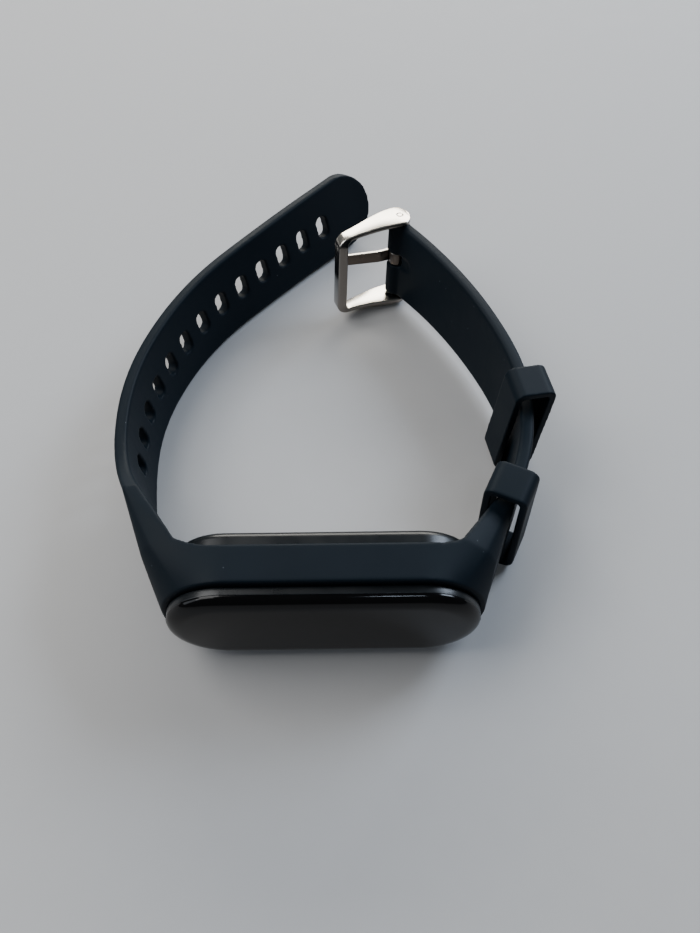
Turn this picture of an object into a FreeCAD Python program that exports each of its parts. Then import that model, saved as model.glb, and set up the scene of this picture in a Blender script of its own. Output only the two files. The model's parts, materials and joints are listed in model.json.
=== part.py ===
"""Fitness tracker band: a pill-shaped core held in a silicone strap with a pin buckle.

The band lies on its side, as it does on a table: the strap's lower edges are on Z = 0,
+Z is up, and the display looks along -Y.  Everything is first built in a working frame
whose Y axis runs back from the display and whose X = 0 plane halves the core, and is then
moved so that the origin is the middle of the bottom of the whole part's box.
"""
import FreeCAD, Part
import math
import os

V = FreeCAD.Vector
Y_AXIS, Z_AXIS = V(0, 1, 0), V(0, 0, 1)

# ---- core (the removable tracker) ----
CORE_LENGTH = 46.9            # along X
CORE_HEIGHT = 17.9            # along Z
CORE_FRONT = -0.8             # Y of the crown of the display cover
CORE_BACK = 12.0              # Y of the flat back
COVER_THICKNESS = 1.7         # display cover at its middle
COVER_EDGE_RADIUS = 1.3       # rounded front edge of the cover
ADHESIVE_THICKNESS = 0.15
FLANGE_BACK = 2.3             # Y where the wide rim ends and the waist begins
WAIST_STEP = 0.4              # how far the waist is inside the rim, all round
SHELL_WALL = 0.9
SHELL_BACK_WALL = 1.0
SHELL_BACK_RADIUS = 1.4       # rounded back edge
LEDGE_WIDTH = 1.1             # rim that the display cover is glued to
FIT_GAP = 0.1                 # general gap between parts that sit in each other

# ---- inside the core ----
PANEL_LENGTH, PANEL_HEIGHT, PANEL_THICKNESS = 25.0, 13.0, 0.9
FLEX_WIDTH, FLEX_THICKNESS = 6.0, 0.2
FRAME_THICKNESS, FRAME_BORDER = 0.8, 1.6
FRAME_RIB_WIDTH = 1.6
PANEL_TO_FRAME = 0.5           # display panel to the frame behind it
FLEX_TUCK, FLEX_BULGE = 2.5, 1.2   # ribbon under the panel and beyond its end
BOARD_THICKNESS = 0.8
BOARD_MARGIN = 0.35           # board edge to shell wall
PROCESSOR = (5.6, 4.3, 2.6, 3.4, 0.7)      # x, z, length, height, thickness
SHIELD_CAN = (7.9, 0.0, 2.6, 4.6, 1.0)
MEMORY_CHIP = (4.6, -4.4, 1.8, 2.4, 0.6)
CRYSTAL = (8.2, -5.2, 2.0, 1.2, 0.5)
CAPACITOR = (-16.4, 6.3, 1.0, 0.5, 0.5)    # the first of the row
CAPACITOR_COUNT, CAPACITOR_PITCH = 4, 2.6
BATTERY_LENGTH, BATTERY_HEIGHT, BATTERY_THICKNESS = 22.0, 11.6, 3.8
BATTERY_CENTRE_X = -7.6
BATTERY_GAP = 0.3             # battery to the sensor board behind it
CELL_EDGE_RADIUS = 1.0
PROTECTION_BOARD_THICKNESS, PROTECTION_BOARD_HEIGHT = 1.0, 7.0
PROTECTION_BOARD_FRONT, PROTECTION_BOARD_BACK = 0.4, 0.6   # set in from the cell's faces
LEAD_RADIUS, LEAD_SPACING = 0.3, 4.8
MOTOR_CENTRE_X = 14.2
MOTOR_RADIUS, MOTOR_LENGTH, MOTOR_WALL = 4.0, 3.0, 0.3
MOTOR_SHAFT_RADIUS = 0.5
ROTOR_HUB_RADIUS = 1.2
MOTOR_RUNNING_GAP = 0.05
ROTOR_RADIUS, ROTOR_THICKNESS = 3.2, 1.4
SENSOR_BOARD_LENGTH, SENSOR_BOARD_HEIGHT, SENSOR_BOARD_THICKNESS = 11.0, 9.0, 0.6
SENSOR_WINDOW_RADIUS, SENSOR_WINDOW_CROWN = 3.6, 0.3
SENSOR_LED_SPACING = 2.8      # middle of the window to each green light
SENSOR_LED_SIZE, PHOTODIODE_SIZE, SENSOR_CHIP_THICKNESS = 0.9, 1.8, 0.35
BAFFLE_INNER, BAFFLE_WALL = 2.3, 0.35
CONTACT_RADIUS, CONTACT_SPACING, CONTACT_X = 0.9, 5.0, 16.6
CONTACT_INSIDE = 0.5          # contact pin beyond the inner face of the back wall
ANTENNA_LENGTH, ANTENNA_WIDTH, ANTENNA_THICKNESS = 7.2, 2.4, 1.0
ANTENNA_TO_SHELL = 1.2

# ---- strap ----
HOLDER_HEIGHT = 20.5          # strap height round the core, Z
HOLDER_FRONT = 2.45           # Y of the front edge of the holder
HOLDER_BACK = 8.7             # Y of its back rim
HOLDER_END_WALL = 0.7         # silicone beyond each end of the core, at the front edge
HOLDER_OUTER_BULGE = 0.1      # how far its ends bow outward between the core and the flex line
HOLDER_INNER_BULGE = (0.9, -1.1)   # X and Y bow of the hollow between back rim and flex line
RIM_STRAIGHT_TO = 16.5        # |X| up to which the back rim is straight
POCKET_GAP = 0.1              # core to pocket, all round
STRAP_WIDTH = 15.2
BUCKLE_END_WIDTH = 15.5       # strap height between the buckle's arms
BUCKLE_END_TAPER = 14.0       # length over which it changes to that
STRAP_THICKNESS = 2.2
STRAP_EDGE_RADIUS = 0.55
HINGE_THICKNESS = 2.6         # strap thickness where the arm starts to flex
HINGE_GAP = 0.12
ROOT_INSET = 1.35             # strap edge inside the holder's top and bottom at the flex line
ROOT_HEIGHT = HOLDER_HEIGHT - 2 * ROOT_INSET
ROOT_CORNER = 1.0             # rounding of the holder's ends where the arms leave
ROOT_TRIM = 0.1               # holder's ends inside the arms' own edges there
SHOULDER_FALL = 0.3           # share of the fall to the arms that is taken half way
END_ANGLES = (90, 70, 50, 28, 6, 0)   # where the holder's round ends are divided, degrees
ENVELOPE_RUN = 4.0            # how far the ends' shape runs on past the flex line
HOLLOW_RUN = 10.0             # how far the hollow runs on behind the core
CUT_SPARE = 2.0               # how far a cutter stands clear of what it cuts
ROOT_TAPER = 17.0             # length over which the long arm narrows to STRAP_WIDTH
SHORT_ROOT_TAPER = 7.0

# A path is a start point, a heading (degrees from +Y towards +X) and its runs of
# (length, turn in degrees).
LONG_START, LONG_HEADING = (-25.2, 6.3), -25.3
LONG_RUNS = ((5.1, 10.2), (24.5, 14.5), (13.2, 19.2), (25.1, 25.2), (34.9, 4.6))
LONG_FLEX_AT = 9.0            # distance along the path to the flex line
LONG_LEAN_ROOT = 10.5         # outward lean, degrees, reached over the first stretch
LONG_LEAN_RUN = 18.0          # length of that stretch, from the flex line
LONG_LEAN_TIP = 21.0          # outward lean at the tip, degrees
LONG_LEAN_CURVE = 1.4         # how late the rest of the lean comes; 1 is evenly
SHORT_START, SHORT_HEADING = (22.9, 6.9), 26.9
SHORT_RUNS = ((13.7, -1.5), (30.2, -46.7), (31.6, -20.7))
SHORT_FLEX_AT = 7.0
SHORT_LEAN_END = 9.0
LONG_STEP, SHORT_STEP = 8.0, 6.0   # distance between the sections an arm is drawn through
SHORT_RAKE_END = 7.0          # how far the buckle end nods down, degrees

HOLE_COUNT = 13
HOLE_PITCH = 5.43
HOLE_FROM_TIP = 12.6
HOLE_LENGTH, HOLE_HEIGHT, HOLE_CORNER = 2.5, 4.4, 1.1

# ---- keepers ----
KEEPER_WALL = 1.2
KEEPER_LENGTH = 6.0           # along the strap
KEEPER_DEPTH = 7.0            # across the strap's thickness
KEEPER_SLACK = 2.9            # height of its opening beyond the strap's width
KEEPER_HEIGHT = STRAP_WIDTH + KEEPER_SLACK + 2 * KEEPER_WALL
KEEPER_OUTER_RADIUS, KEEPER_INNER_RADIUS = 1.7, 0.6
KEEPER_FLOOR_GAP = 0.7        # strap's lower edge above the floor of the loop
NEAR_KEEPER_AT = 13.2         # along the short arm's path
FAR_KEEPER_AT = 32.6
FAR_KEEPER_LEAN = 5.0
FAR_KEEPER_SKEW = -8.0        # degrees off the strap's own heading
SHORT_LIFT = KEEPER_WALL + KEEPER_FLOOR_GAP   # lower edge above the table at the keepers
SHORT_LIFT_END = 1.9          # and at the buckle

# ---- buckle ----
BUCKLE_ARM_THICKNESS = 0.85
BUCKLE_END_GAP = 0.4          # strap end to each arm
BUCKLE_HEIGHT = BUCKLE_END_WIDTH + 2 * (BUCKLE_ARM_THICKNESS + BUCKLE_END_GAP)
BUCKLE_EAR_RADIUS = 2.5
BUCKLE_NECK = (7.4, 0.9, 2.0)   # along, inward, radius: the arm before it bends to the bar
BUCKLE_BAR = (10.7, 3.0, 1.2)   # along, inward, radius: the front bar
BUCKLE_HEADING = -110.0       # from the pin to the bar, seen from above
BARREL_RADIUS = 1.9           # strap end round the spring bar
TUBE_RADIUS, TUBE_WALL, TUBE_LENGTH = 0.75, 0.17, 14.2
TUBE_GAP = 0.03
TIP_RADIUS, TIP_SHOULDER_RADIUS = 0.42, 0.53
TIP_GAP = 0.05
TIP_SHOULDER_LENGTH = 2.2
TIP_TRAVEL = 1.2
SPRING_WIRE = 0.11
SPRING_PITCH = 0.9
TONGUE_HEIGHT = 2.2
TONGUE_THICKNESS = 0.7
TONGUE_SLOT = 2.7
TONGUE_SLOT_DEPTH = 4.6       # from the pin back into the strap
TONGUE_BAR_GAP = 0.05
TONGUE_OVERHANG = 0.8         # past the middle of the bar
TONGUE_ROOT_INWARD = -0.4     # where the strip leaves its curl
TONGUE_BEND = (5.6, 0.9)      # along, inward: its one bend

MID_Z = HOLDER_HEIGHT / 2


# ---- small helpers ----
def pill(length, height, y0, y1):
    """A flat-ended pill along X, filling y0..y1, centred on X = 0 and MID_Z."""
    r = height / 2
    x = length / 2 - r
    top, bottom = MID_Z + r, MID_Z - r
    edges = [
        Part.LineSegment(V(-x, y0, bottom), V(x, y0, bottom)).toShape(),
        Part.Arc(V(x, y0, bottom), V(x + r, y0, MID_Z), V(x, y0, top)).toShape(),
        Part.LineSegment(V(x, y0, top), V(-x, y0, top)).toShape(),
        Part.Arc(V(-x, y0, top), V(-x - r, y0, MID_Z), V(-x, y0, bottom)).toShape(),
    ]
    return Part.Face(Part.Wire(edges)).extrude(V(0, y1 - y0, 0))


def edges_at_y(shape, y):
    """Edges of a shape that lie wholly in the plane at y."""
    return [e for e in shape.Edges
            if abs(e.BoundBox.YMin - y) < 1e-4 and abs(e.BoundBox.YMax - y) < 1e-4]


def block(x0, x1, y0, y1, z0, z1):
    """A box between two corners; z is measured from MID_Z."""
    return Part.makeBox(x1 - x0, y1 - y0, z1 - z0, V(x0, y0, MID_Z + z0))


def disc(radius, x, z, y0, y1):
    """A cylinder along Y; z is measured from MID_Z."""
    return Part.makeCylinder(radius, y1 - y0, V(x, y0, MID_Z + z), Y_AXIS)


def edges_along_y(shape):
    """Straight edges parallel to Y."""
    found = []
    for edge in shape.Edges:
        run = edge.Vertexes[-1].Point - edge.Vertexes[0].Point
        if run.Length > 0 and abs(run.y) / run.Length > 0.999:
            found.append(edge)
    return found


# ---- strap paths and frames ----
def along(path, distance):
    """Point and heading (radians) at a distance along a path of tangent arcs."""
    (x, y), heading_deg, runs = path
    heading = math.radians(heading_deg)
    for index, (length, turn_deg) in enumerate(runs):
        last = index == len(runs) - 1
        part = distance if last else min(distance, length)
        turn = math.radians(turn_deg) * part / length
        if abs(turn) < 1e-9:
            x += part * math.sin(heading)
            y += part * math.cos(heading)
        else:
            radius = part / turn
            x += radius * (math.cos(heading) - math.cos(heading + turn))
            y += radius * (math.sin(heading + turn) - math.sin(heading))
        heading += turn
        distance -= part
        if distance <= 0 or last:
            break
    return x, y, heading


def path_length(path):
    """Length of all the path's runs."""
    return sum(length for length, _ in path[2])


LONG_PATH = (LONG_START, LONG_HEADING, LONG_RUNS)
SHORT_PATH = (SHORT_START, SHORT_HEADING, SHORT_RUNS)
LONG_END = path_length(LONG_PATH)
SHORT_END = path_length(SHORT_PATH)


def frame_at(path, side, distance, lean_deg=0.0, rake_deg=0.0):
    """Local axes of the strap: forward, outward and up its width, as unit vectors.

    side is -1 for the long arm and +1 for the short arm; lean tips the width outward and
    rake tips it forward.
    """
    x, y, heading = along(path, distance)
    forward = V(math.sin(heading), math.cos(heading), 0)
    outward = V(math.cos(heading), -math.sin(heading), 0) * side
    up = Z_AXIS + outward * math.tan(math.radians(lean_deg))
    up = up + forward * math.tan(math.radians(rake_deg))
    up.normalize()
    out = outward - up * outward.dot(up)
    out.normalize()
    ahead = up.cross(out) * side
    if ahead.dot(forward) < 0:
        ahead = ahead * -1
    return V(x, y, 0), ahead, out, up


def ease(fraction):
    """Smooth step from 0 to 1."""
    t = min(max(fraction, 0.0), 1.0)
    return t * t * (3 - 2 * t)


def long_profile(distance):
    """Lower edge, height, thickness, lean and rake of the long arm."""
    t = ease((distance - LONG_FLEX_AT) / ROOT_TAPER)
    lean = LONG_LEAN_ROOT * ease((distance - LONG_FLEX_AT) / LONG_LEAN_RUN)
    rest_start = LONG_FLEX_AT + LONG_LEAN_RUN
    rest = max((distance - rest_start) / (LONG_END - rest_start), 0.0)
    lean += (LONG_LEAN_TIP - LONG_LEAN_ROOT) * rest ** LONG_LEAN_CURVE
    height = ROOT_HEIGHT + (STRAP_WIDTH - ROOT_HEIGHT) * t
    thickness = HINGE_THICKNESS + (STRAP_THICKNESS - HINGE_THICKNESS) * t
    drop = STRAP_THICKNESS / 2 * math.sin(math.radians(lean))
    return ROOT_INSET * (1 - t) + drop, height, thickness, lean, 0.0


def short_profile(distance):
    """Lower edge, height, thickness, lean and rake of the short arm."""
    t = ease((distance - SHORT_FLEX_AT) / SHORT_ROOT_TAPER)
    rest = (distance - SHORT_FLEX_AT) / (SHORT_END - SHORT_FLEX_AT)
    lift = SHORT_LIFT + (SHORT_LIFT_END - SHORT_LIFT) * ease(rest)
    narrowing = ease((distance - SHORT_END + BUCKLE_END_TAPER) / BUCKLE_END_TAPER)
    trim = (STRAP_WIDTH - BUCKLE_END_WIDTH) * narrowing
    height = ROOT_HEIGHT + (STRAP_WIDTH - ROOT_HEIGHT) * t - trim
    thickness = HINGE_THICKNESS + (STRAP_THICKNESS - HINGE_THICKNESS) * t
    low = ROOT_INSET + (lift - ROOT_INSET) * t + trim / 2
    return low, height, thickness, SHORT_LEAN_END * ease(rest), SHORT_RAKE_END * ease(rest)


def section(path, side, distance, profile):
    """Closed wire of the strap's cross-section at a distance along its path."""
    low, height, thickness, lean, rake = profile(distance)
    base, _, out, up = frame_at(path, side, distance, lean, rake)
    base = base + Z_AXIS * low
    r = STRAP_EDGE_RADIUS
    half = thickness / 2
    diagonal = r * (1 - math.sqrt(0.5))

    def at(o, u):
        return base + out * o + up * u

    return Part.Wire([
        Part.LineSegment(at(-half + r, 0), at(half - r, 0)).toShape(),
        Part.Arc(at(half - r, 0), at(half - diagonal, diagonal), at(half, r)).toShape(),
        Part.LineSegment(at(half, r), at(half, height - r)).toShape(),
        Part.Arc(at(half, height - r), at(half - diagonal, height - diagonal),
                 at(half - r, height)).toShape(),
        Part.LineSegment(at(half - r, height), at(-half + r, height)).toShape(),
        Part.Arc(at(-half + r, height), at(-half + diagonal, height - diagonal),
                 at(-half, height - r)).toShape(),
        Part.LineSegment(at(-half, height - r), at(-half, r)).toShape(),
        Part.Arc(at(-half, r), at(-half + diagonal, diagonal), at(-half + r, 0)).toShape(),
    ])


def strap_band(path, side, profile, start, end, step):
    """Smooth band through sections about `step` apart, from start to end."""
    count = max(2, round((end - start) / step))
    wires = []
    for i in range(count + 1):
        wires.append(section(path, side, start + (end - start) * i / count, profile))
    band = Part.makeLoft(wires, True, False)
    if band.Volume < 0:
        band.reverse()
    return band


def flex_point(path, distance):
    """Foot of an arm's flex line."""
    x, y, _ = along(path, distance)
    return V(x, y, 0)


def flex_cylinder(path, distance, radius):
    """Full-height cylinder about the flex line of an arm."""
    point = flex_point(path, distance)
    return Part.makeCylinder(radius, HOLDER_HEIGHT, V(point.x, point.y, 0), Z_AXIS)


# ---- strap pieces ----
def holder_outline():
    """Plan outline of the holder with a stub of each arm up to its flex line."""
    half_front = CORE_LENGTH / 2 + HOLDER_END_WALL
    half = HINGE_THICKNESS / 2
    points = {}
    for side, path, flex in ((-1, LONG_PATH, LONG_FLEX_AT), (1, SHORT_PATH, SHORT_FLEX_AT)):
        base, ahead, out, _ = frame_at(path, side, flex)
        corner = V(side * half_front, HOLDER_FRONT, 0)
        outer, inner = base + out * half, base - out * half
        rim = V(side * RIM_STRAIGHT_TO, HOLDER_BACK, 0)
        outer_mid = (corner + outer) * 0.5 + out * HOLDER_OUTER_BULGE
        inner_mid = (rim + inner) * 0.5 + V(side * HOLDER_INNER_BULGE[0], HOLDER_INNER_BULGE[1], 0)
        points[side] = (corner, outer_mid, outer, inner, inner_mid, rim)
    left, right = points[-1], points[1]
    return Part.Face(Part.Wire([
        Part.LineSegment(left[0], right[0]).toShape(),
        Part.Arc(right[0], right[1], right[2]).toShape(),
        Part.LineSegment(right[2], right[3]).toShape(),
        Part.Arc(right[3], right[4], right[5]).toShape(),
        Part.LineSegment(right[5], left[5]).toShape(),
        Part.Arc(left[5], left[4], left[3]).toShape(),
        Part.LineSegment(left[3], left[2]).toShape(),
        Part.Arc(left[2], left[1], left[0]).toShape(),
    ]))


def front_outline(y, quarter_points):
    """Closed wire in the plane at y: one quarter outline mirrored into all four."""
    (p0, bulge1, p1, bulge2, p2, p3) = quarter_points

    def at(point, sx, sz):
        return V(sx * point[0], y, MID_Z + sz * point[1])

    edges = []
    for sx, sz in ((1, 1), (1, -1), (-1, -1), (-1, 1)):
        run = [Part.Arc(at(p0, sx, sz), at(bulge1, sx, sz), at(p1, sx, sz)).toShape(),
               Part.Arc(at(p1, sx, sz), at(bulge2, sx, sz), at(p2, sx, sz)).toShape(),
               Part.LineSegment(at(p2, sx, sz), at(p3, sx, sz)).toShape()]
        edges += run if sx * sz > 0 else run[::-1]
    edges.append(Part.LineSegment(at(p0, -1, 1), at(p0, 1, 1)).toShape())
    edges.append(Part.LineSegment(at(p0, 1, -1), at(p0, -1, -1)).toShape())
    return Part.Wire(Part.__sortEdges__(edges))


def holder_envelope():
    """Solid that shapes the holder: pill-ended in front, strap-ended at the flex lines."""
    full, root = HOLDER_HEIGHT / 2, ROOT_HEIGHT / 2
    x0 = CORE_LENGTH / 2 + HOLDER_END_WALL - full

    def round_end(degrees):
        angle = math.radians(degrees)
        return x0 + full * math.cos(angle), full * math.sin(angle)

    front = [round_end(degrees) for degrees in END_ANGLES]
    flex_x = abs(flex_point(LONG_PATH, LONG_FLEX_AT).x)
    end_x = flex_x + ROOT_CORNER * 2
    knee, edge = end_x - ROOT_CORNER, root - ROOT_TRIM
    diagonal = ROOT_CORNER * (1 - math.sqrt(0.5))
    back = ((x0, full), ((x0 + knee) / 2, full - (full - root) * SHOULDER_FALL), (knee, edge),
            (end_x - diagonal, edge - diagonal), (end_x, edge - ROOT_CORNER), (end_x, 0))
    flex_y = flex_point(LONG_PATH, LONG_FLEX_AT).y
    wires = [front_outline(HOLDER_FRONT, front), front_outline(flex_y, back),
             front_outline(flex_y + ENVELOPE_RUN, back)]
    return Part.makeLoft(wires, True, True)


def strap_holder():
    """Silicone ring round the core's waist, with the two arm roots."""
    body = holder_outline().extrude(V(0, 0, HOLDER_HEIGHT))
    body = body.common(holder_envelope())
    waist = 2 * (WAIST_STEP - POCKET_GAP)
    pocket = pill(CORE_LENGTH - waist, CORE_HEIGHT - waist,
                  HOLDER_FRONT - CUT_SPARE, CORE_BACK + HOLLOW_RUN)
    body = body.cut(pocket)
    clear = HINGE_THICKNESS / 2 + HINGE_GAP
    body = body.cut(flex_cylinder(LONG_PATH, LONG_FLEX_AT, clear))
    body = body.cut(flex_cylinder(SHORT_PATH, SHORT_FLEX_AT, clear))
    return body


def arm_root(path, flex):
    """Round root of an arm, which turns in the holder's hollow end."""
    point = flex_point(path, flex)
    return Part.makeCylinder(HINGE_THICKNESS / 2, ROOT_HEIGHT, V(point.x, point.y, ROOT_INSET))


def rounded_slot(path, distance, profile):
    """Cutter for one adjustment hole: a tall rounded rectangle through the strap."""
    low, height, _, lean, rake = profile(distance)
    base, ahead, out, up = frame_at(path, -1, distance, lean, rake)
    centre = base + Z_AXIS * low + up * (height / 2) - out * STRAP_THICKNESS * 1.5
    half_l, half_h, r = HOLE_LENGTH / 2, HOLE_HEIGHT / 2, HOLE_CORNER
    d = r * (1 - math.sqrt(0.5))

    def at(a, u):
        return centre + ahead * a + up * u

    edges = []
    corners = ((1, -1), (1, 1), (-1, 1), (-1, -1))
    ends = []
    for a, u in corners:
        first = at(a * half_l, u * (half_h - r))
        middle = at(a * (half_l - d), u * (half_h - d))
        second = at(a * (half_l - r), u * half_h)
        if a * u < 0:
            first, second = second, first
        edges.append(Part.Arc(first, middle, second).toShape())
        ends.append((first, second))
    for i in range(4):
        start, finish = ends[i][1], ends[(i + 1) % 4][0]
        if (finish - start).Length > 1e-6:
            edges.append(Part.LineSegment(start, finish).toShape())
    wire = Part.Wire(Part.__sortEdges__(edges))
    return Part.Face(wire).extrude(out * STRAP_THICKNESS * 3)


def tip_cutter():
    """What is taken off the long arm's end to leave a half-round tip."""
    radius = STRAP_WIDTH / 2
    low, height, _, lean, rake = long_profile(LONG_END - radius)
    base, ahead, out, up = frame_at(LONG_PATH, -1, LONG_END - radius, lean, rake)
    centre = base + Z_AXIS * low + up * (height / 2)
    depth = STRAP_THICKNESS * 6
    start = centre - out * (depth / 2)
    over = radius * 1.5
    corner = start - up * over
    face = Part.Face(Part.makePolygon([
        corner, corner + ahead * over, corner + ahead * over + up * (2 * over),
        corner + up * (2 * over), corner]))
    return face.extrude(out * depth).cut(Part.makeCylinder(radius, depth, start, out))


def long_arm():
    """Strap arm with the adjustment holes."""
    arm = strap_band(LONG_PATH, -1, long_profile, LONG_FLEX_AT, LONG_END, LONG_STEP)
    arm = arm.cut(tip_cutter())
    for k in range(HOLE_COUNT):
        distance = LONG_END - HOLE_FROM_TIP - k * HOLE_PITCH
        arm = arm.cut(rounded_slot(LONG_PATH, distance, long_profile))
    return arm.fuse(arm_root(LONG_PATH, LONG_FLEX_AT)).removeSplitter()


def pin_frame():
    """Lower end and axes of the spring bar: base, towards the bar, inward, up."""
    low, height, _, lean, rake = short_profile(SHORT_END)
    base, _, _, up = frame_at(SHORT_PATH, 1, SHORT_END, lean, rake)
    middle = base + Z_AXIS * low + up * (height / 2)
    origin = middle - up * (BUCKLE_HEIGHT / 2)
    heading = math.radians(BUCKLE_HEADING)
    to_bar = V(math.sin(heading), math.cos(heading), 0)
    to_bar = to_bar - up * to_bar.dot(up)
    to_bar.normalize()
    inward = up.cross(to_bar) * -1
    if inward.y > 0:
        inward = inward * -1
    return origin, to_bar, inward, up


def pin_cylinder(radius, start, length):
    """Cylinder on the spring bar's axis; start is measured from the lower buckle face."""
    origin, _, _, up = pin_frame()
    return Part.makeCylinder(radius, length, origin + up * start, up)


def tongue_slot_cutter():
    """Slot in the strap end that the tongue stands in, round at its closed end."""
    origin, _, _, up = pin_frame()
    lean, rake = short_profile(SHORT_END)[3:]
    _, ahead, out, _ = frame_at(SHORT_PATH, 1, SHORT_END, lean, rake)
    middle = origin + up * (BUCKLE_HEIGHT / 2)
    radius = TONGUE_SLOT / 2
    reach, depth = TONGUE_SLOT_DEPTH - radius, BARREL_RADIUS * 8
    start = middle - ahead * reach - out * (depth / 2) - up * radius
    far = reach + BARREL_RADIUS * 3
    face = Part.Face(Part.makePolygon([
        start, start + ahead * far, start + ahead * far + up * TONGUE_SLOT,
        start + up * TONGUE_SLOT, start]))
    slot = face.extrude(out * depth)
    return slot.fuse(Part.makeCylinder(radius, depth, start + up * radius, out))


def short_arm():
    """Strap arm that carries the buckle and the keepers."""
    arm = strap_band(SHORT_PATH, 1, short_profile, SHORT_FLEX_AT, SHORT_END, SHORT_STEP)
    arm = arm.fuse(arm_root(SHORT_PATH, SHORT_FLEX_AT))
    inset = (BUCKLE_HEIGHT - BUCKLE_END_WIDTH) / 2
    arm = arm.fuse(pin_cylinder(BARREL_RADIUS, inset, BUCKLE_END_WIDTH))
    arm = arm.cut(pin_cylinder(TUBE_RADIUS + TUBE_GAP, 0, BUCKLE_HEIGHT))
    return arm.cut(tongue_slot_cutter()).removeSplitter()


def keeper(distance, lean, skew):
    """Rectangular silicone loop round the short arm, standing on the table."""
    x, y, heading = along(SHORT_PATH, distance)
    low, height, _, strap_lean, _ = short_profile(distance)
    outer = Part.makeBox(KEEPER_DEPTH, KEEPER_LENGTH, KEEPER_HEIGHT,
                         V(-KEEPER_DEPTH / 2, -KEEPER_LENGTH / 2, 0))
    outer = outer.makeFillet(KEEPER_OUTER_RADIUS, edges_along_y(outer))
    w = KEEPER_WALL
    inner = Part.makeBox(KEEPER_DEPTH - 2 * w, KEEPER_LENGTH * 2, KEEPER_HEIGHT - 2 * w,
                         V(w - KEEPER_DEPTH / 2, -KEEPER_LENGTH, w))
    inner = inner.makeFillet(KEEPER_INNER_RADIUS, edges_along_y(inner))
    loop = outer.cut(inner)
    middle = low + height / 2
    loop.translate(V(0, 0, -middle))
    loop.rotate(V(0, 0, 0), Y_AXIS, lean)
    loop.rotate(V(0, 0, 0), Z_AXIS, -math.degrees(heading) - skew)
    shift = height / 2 * math.tan(math.radians(strap_lean))
    out = V(math.cos(heading), -math.sin(heading), 0)
    loop.translate(V(x, y, middle) + out * shift)
    loop.translate(V(0, 0, -loop.BoundBox.ZMin))
    return loop


# ---- buckle ----
def tangent_hull(circles, origin, u_axis, v_axis, w_axis, depth):
    """Solid over the outline that wraps a chain of circles given as (u, v, radius)."""
    solid = None
    for u, v, r in circles:
        centre = origin + u_axis * u + v_axis * v
        post = Part.makeCylinder(r, depth, centre, w_axis)
        solid = post if solid is None else solid.fuse(post)
    for (u0, v0, r0), (u1, v1, r1) in zip(circles, circles[1:]):
        span = math.hypot(u1 - u0, v1 - v0)
        angle = math.atan2(v1 - v0, u1 - u0)
        spread = math.acos((r0 - r1) / span)
        corners = []
        for sign, u, v, r in ((1, u0, v0, r0), (1, u1, v1, r1),
                              (-1, u1, v1, r1), (-1, u0, v0, r0)):
            a = angle + sign * spread
            corners.append(origin + u_axis * (u + r * math.cos(a))
                           + v_axis * (v + r * math.sin(a)))
        web = Part.Face(Part.makePolygon(corners + corners[:1])).extrude(w_axis * depth)
        solid = solid.fuse(web)
    return solid.removeSplitter()


def buckle_frame():
    """Steel frame: two arched arms with pin ears, and the front bar between them."""
    origin, to_bar, inward, up = pin_frame()
    chain = ((0, 0, BUCKLE_EAR_RADIUS), BUCKLE_NECK, BUCKLE_BAR)
    lower = tangent_hull(chain, origin, to_bar, inward, up, BUCKLE_ARM_THICKNESS)
    upper = lower.copy()
    upper.translate(up * (BUCKLE_HEIGHT - BUCKLE_ARM_THICKNESS))
    bar_foot = origin + to_bar * BUCKLE_BAR[0] + inward * BUCKLE_BAR[1]
    bar = Part.makeCylinder(BUCKLE_BAR[2], BUCKLE_HEIGHT, bar_foot, up)
    frame = lower.fuse(bar).fuse(upper).removeSplitter()
    return frame.cut(pin_cylinder(TIP_RADIUS + TIP_GAP, 0, BUCKLE_HEIGHT))


def buckle_tongue():
    """Flat steel tongue, curled round the spring bar and resting on the front bar."""
    origin, to_bar, inward, up = pin_frame()
    bore = TUBE_RADIUS + TIP_GAP
    outer = bore + TONGUE_THICKNESS
    foot = origin + up * ((BUCKLE_HEIGHT - TONGUE_HEIGHT) / 2)
    curl = Part.makeCylinder(outer, TONGUE_HEIGHT, foot, up)
    side = BUCKLE_BAR[1] - BUCKLE_BAR[2] - TONGUE_BAR_GAP - TONGUE_THICKNESS / 2
    end = BUCKLE_BAR[0] + TONGUE_OVERHANG
    half = TONGUE_THICKNESS / 2
    chain = ((outer - half, TONGUE_ROOT_INWARD, half), (TONGUE_BEND[0], TONGUE_BEND[1], half),
             (BUCKLE_BAR[0], side, half), (end, side, half))
    strip = tangent_hull(chain, foot, to_bar, inward, up, TONGUE_HEIGHT)
    tongue = curl.fuse(strip).removeSplitter()
    return tongue.cut(pin_cylinder(bore, 0, BUCKLE_HEIGHT))


def spring_bar_tube():
    """Hollow body of the spring bar, in the strap's end."""
    start = (BUCKLE_HEIGHT - TUBE_LENGTH) / 2
    tube = pin_cylinder(TUBE_RADIUS, start, TUBE_LENGTH)
    return tube.cut(pin_cylinder(TUBE_RADIUS - TUBE_WALL, start, TUBE_LENGTH))


def spring_bar_tip(upper):
    """Sliding tip: a thin pin through the ear and a wider shank inside the tube."""
    inside = (BUCKLE_HEIGHT - TUBE_LENGTH) / 2
    pin = pin_cylinder(TIP_RADIUS, 0, inside + TIP_SHOULDER_LENGTH)
    shank = pin_cylinder(TIP_SHOULDER_RADIUS, inside + FIT_GAP, TIP_SHOULDER_LENGTH)
    tip = pin.fuse(shank).removeSplitter()
    if upper:
        origin, to_bar, _, up = pin_frame()
        tip.rotate(origin + up * (BUCKLE_HEIGHT / 2), to_bar, 180)
    return tip


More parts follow.
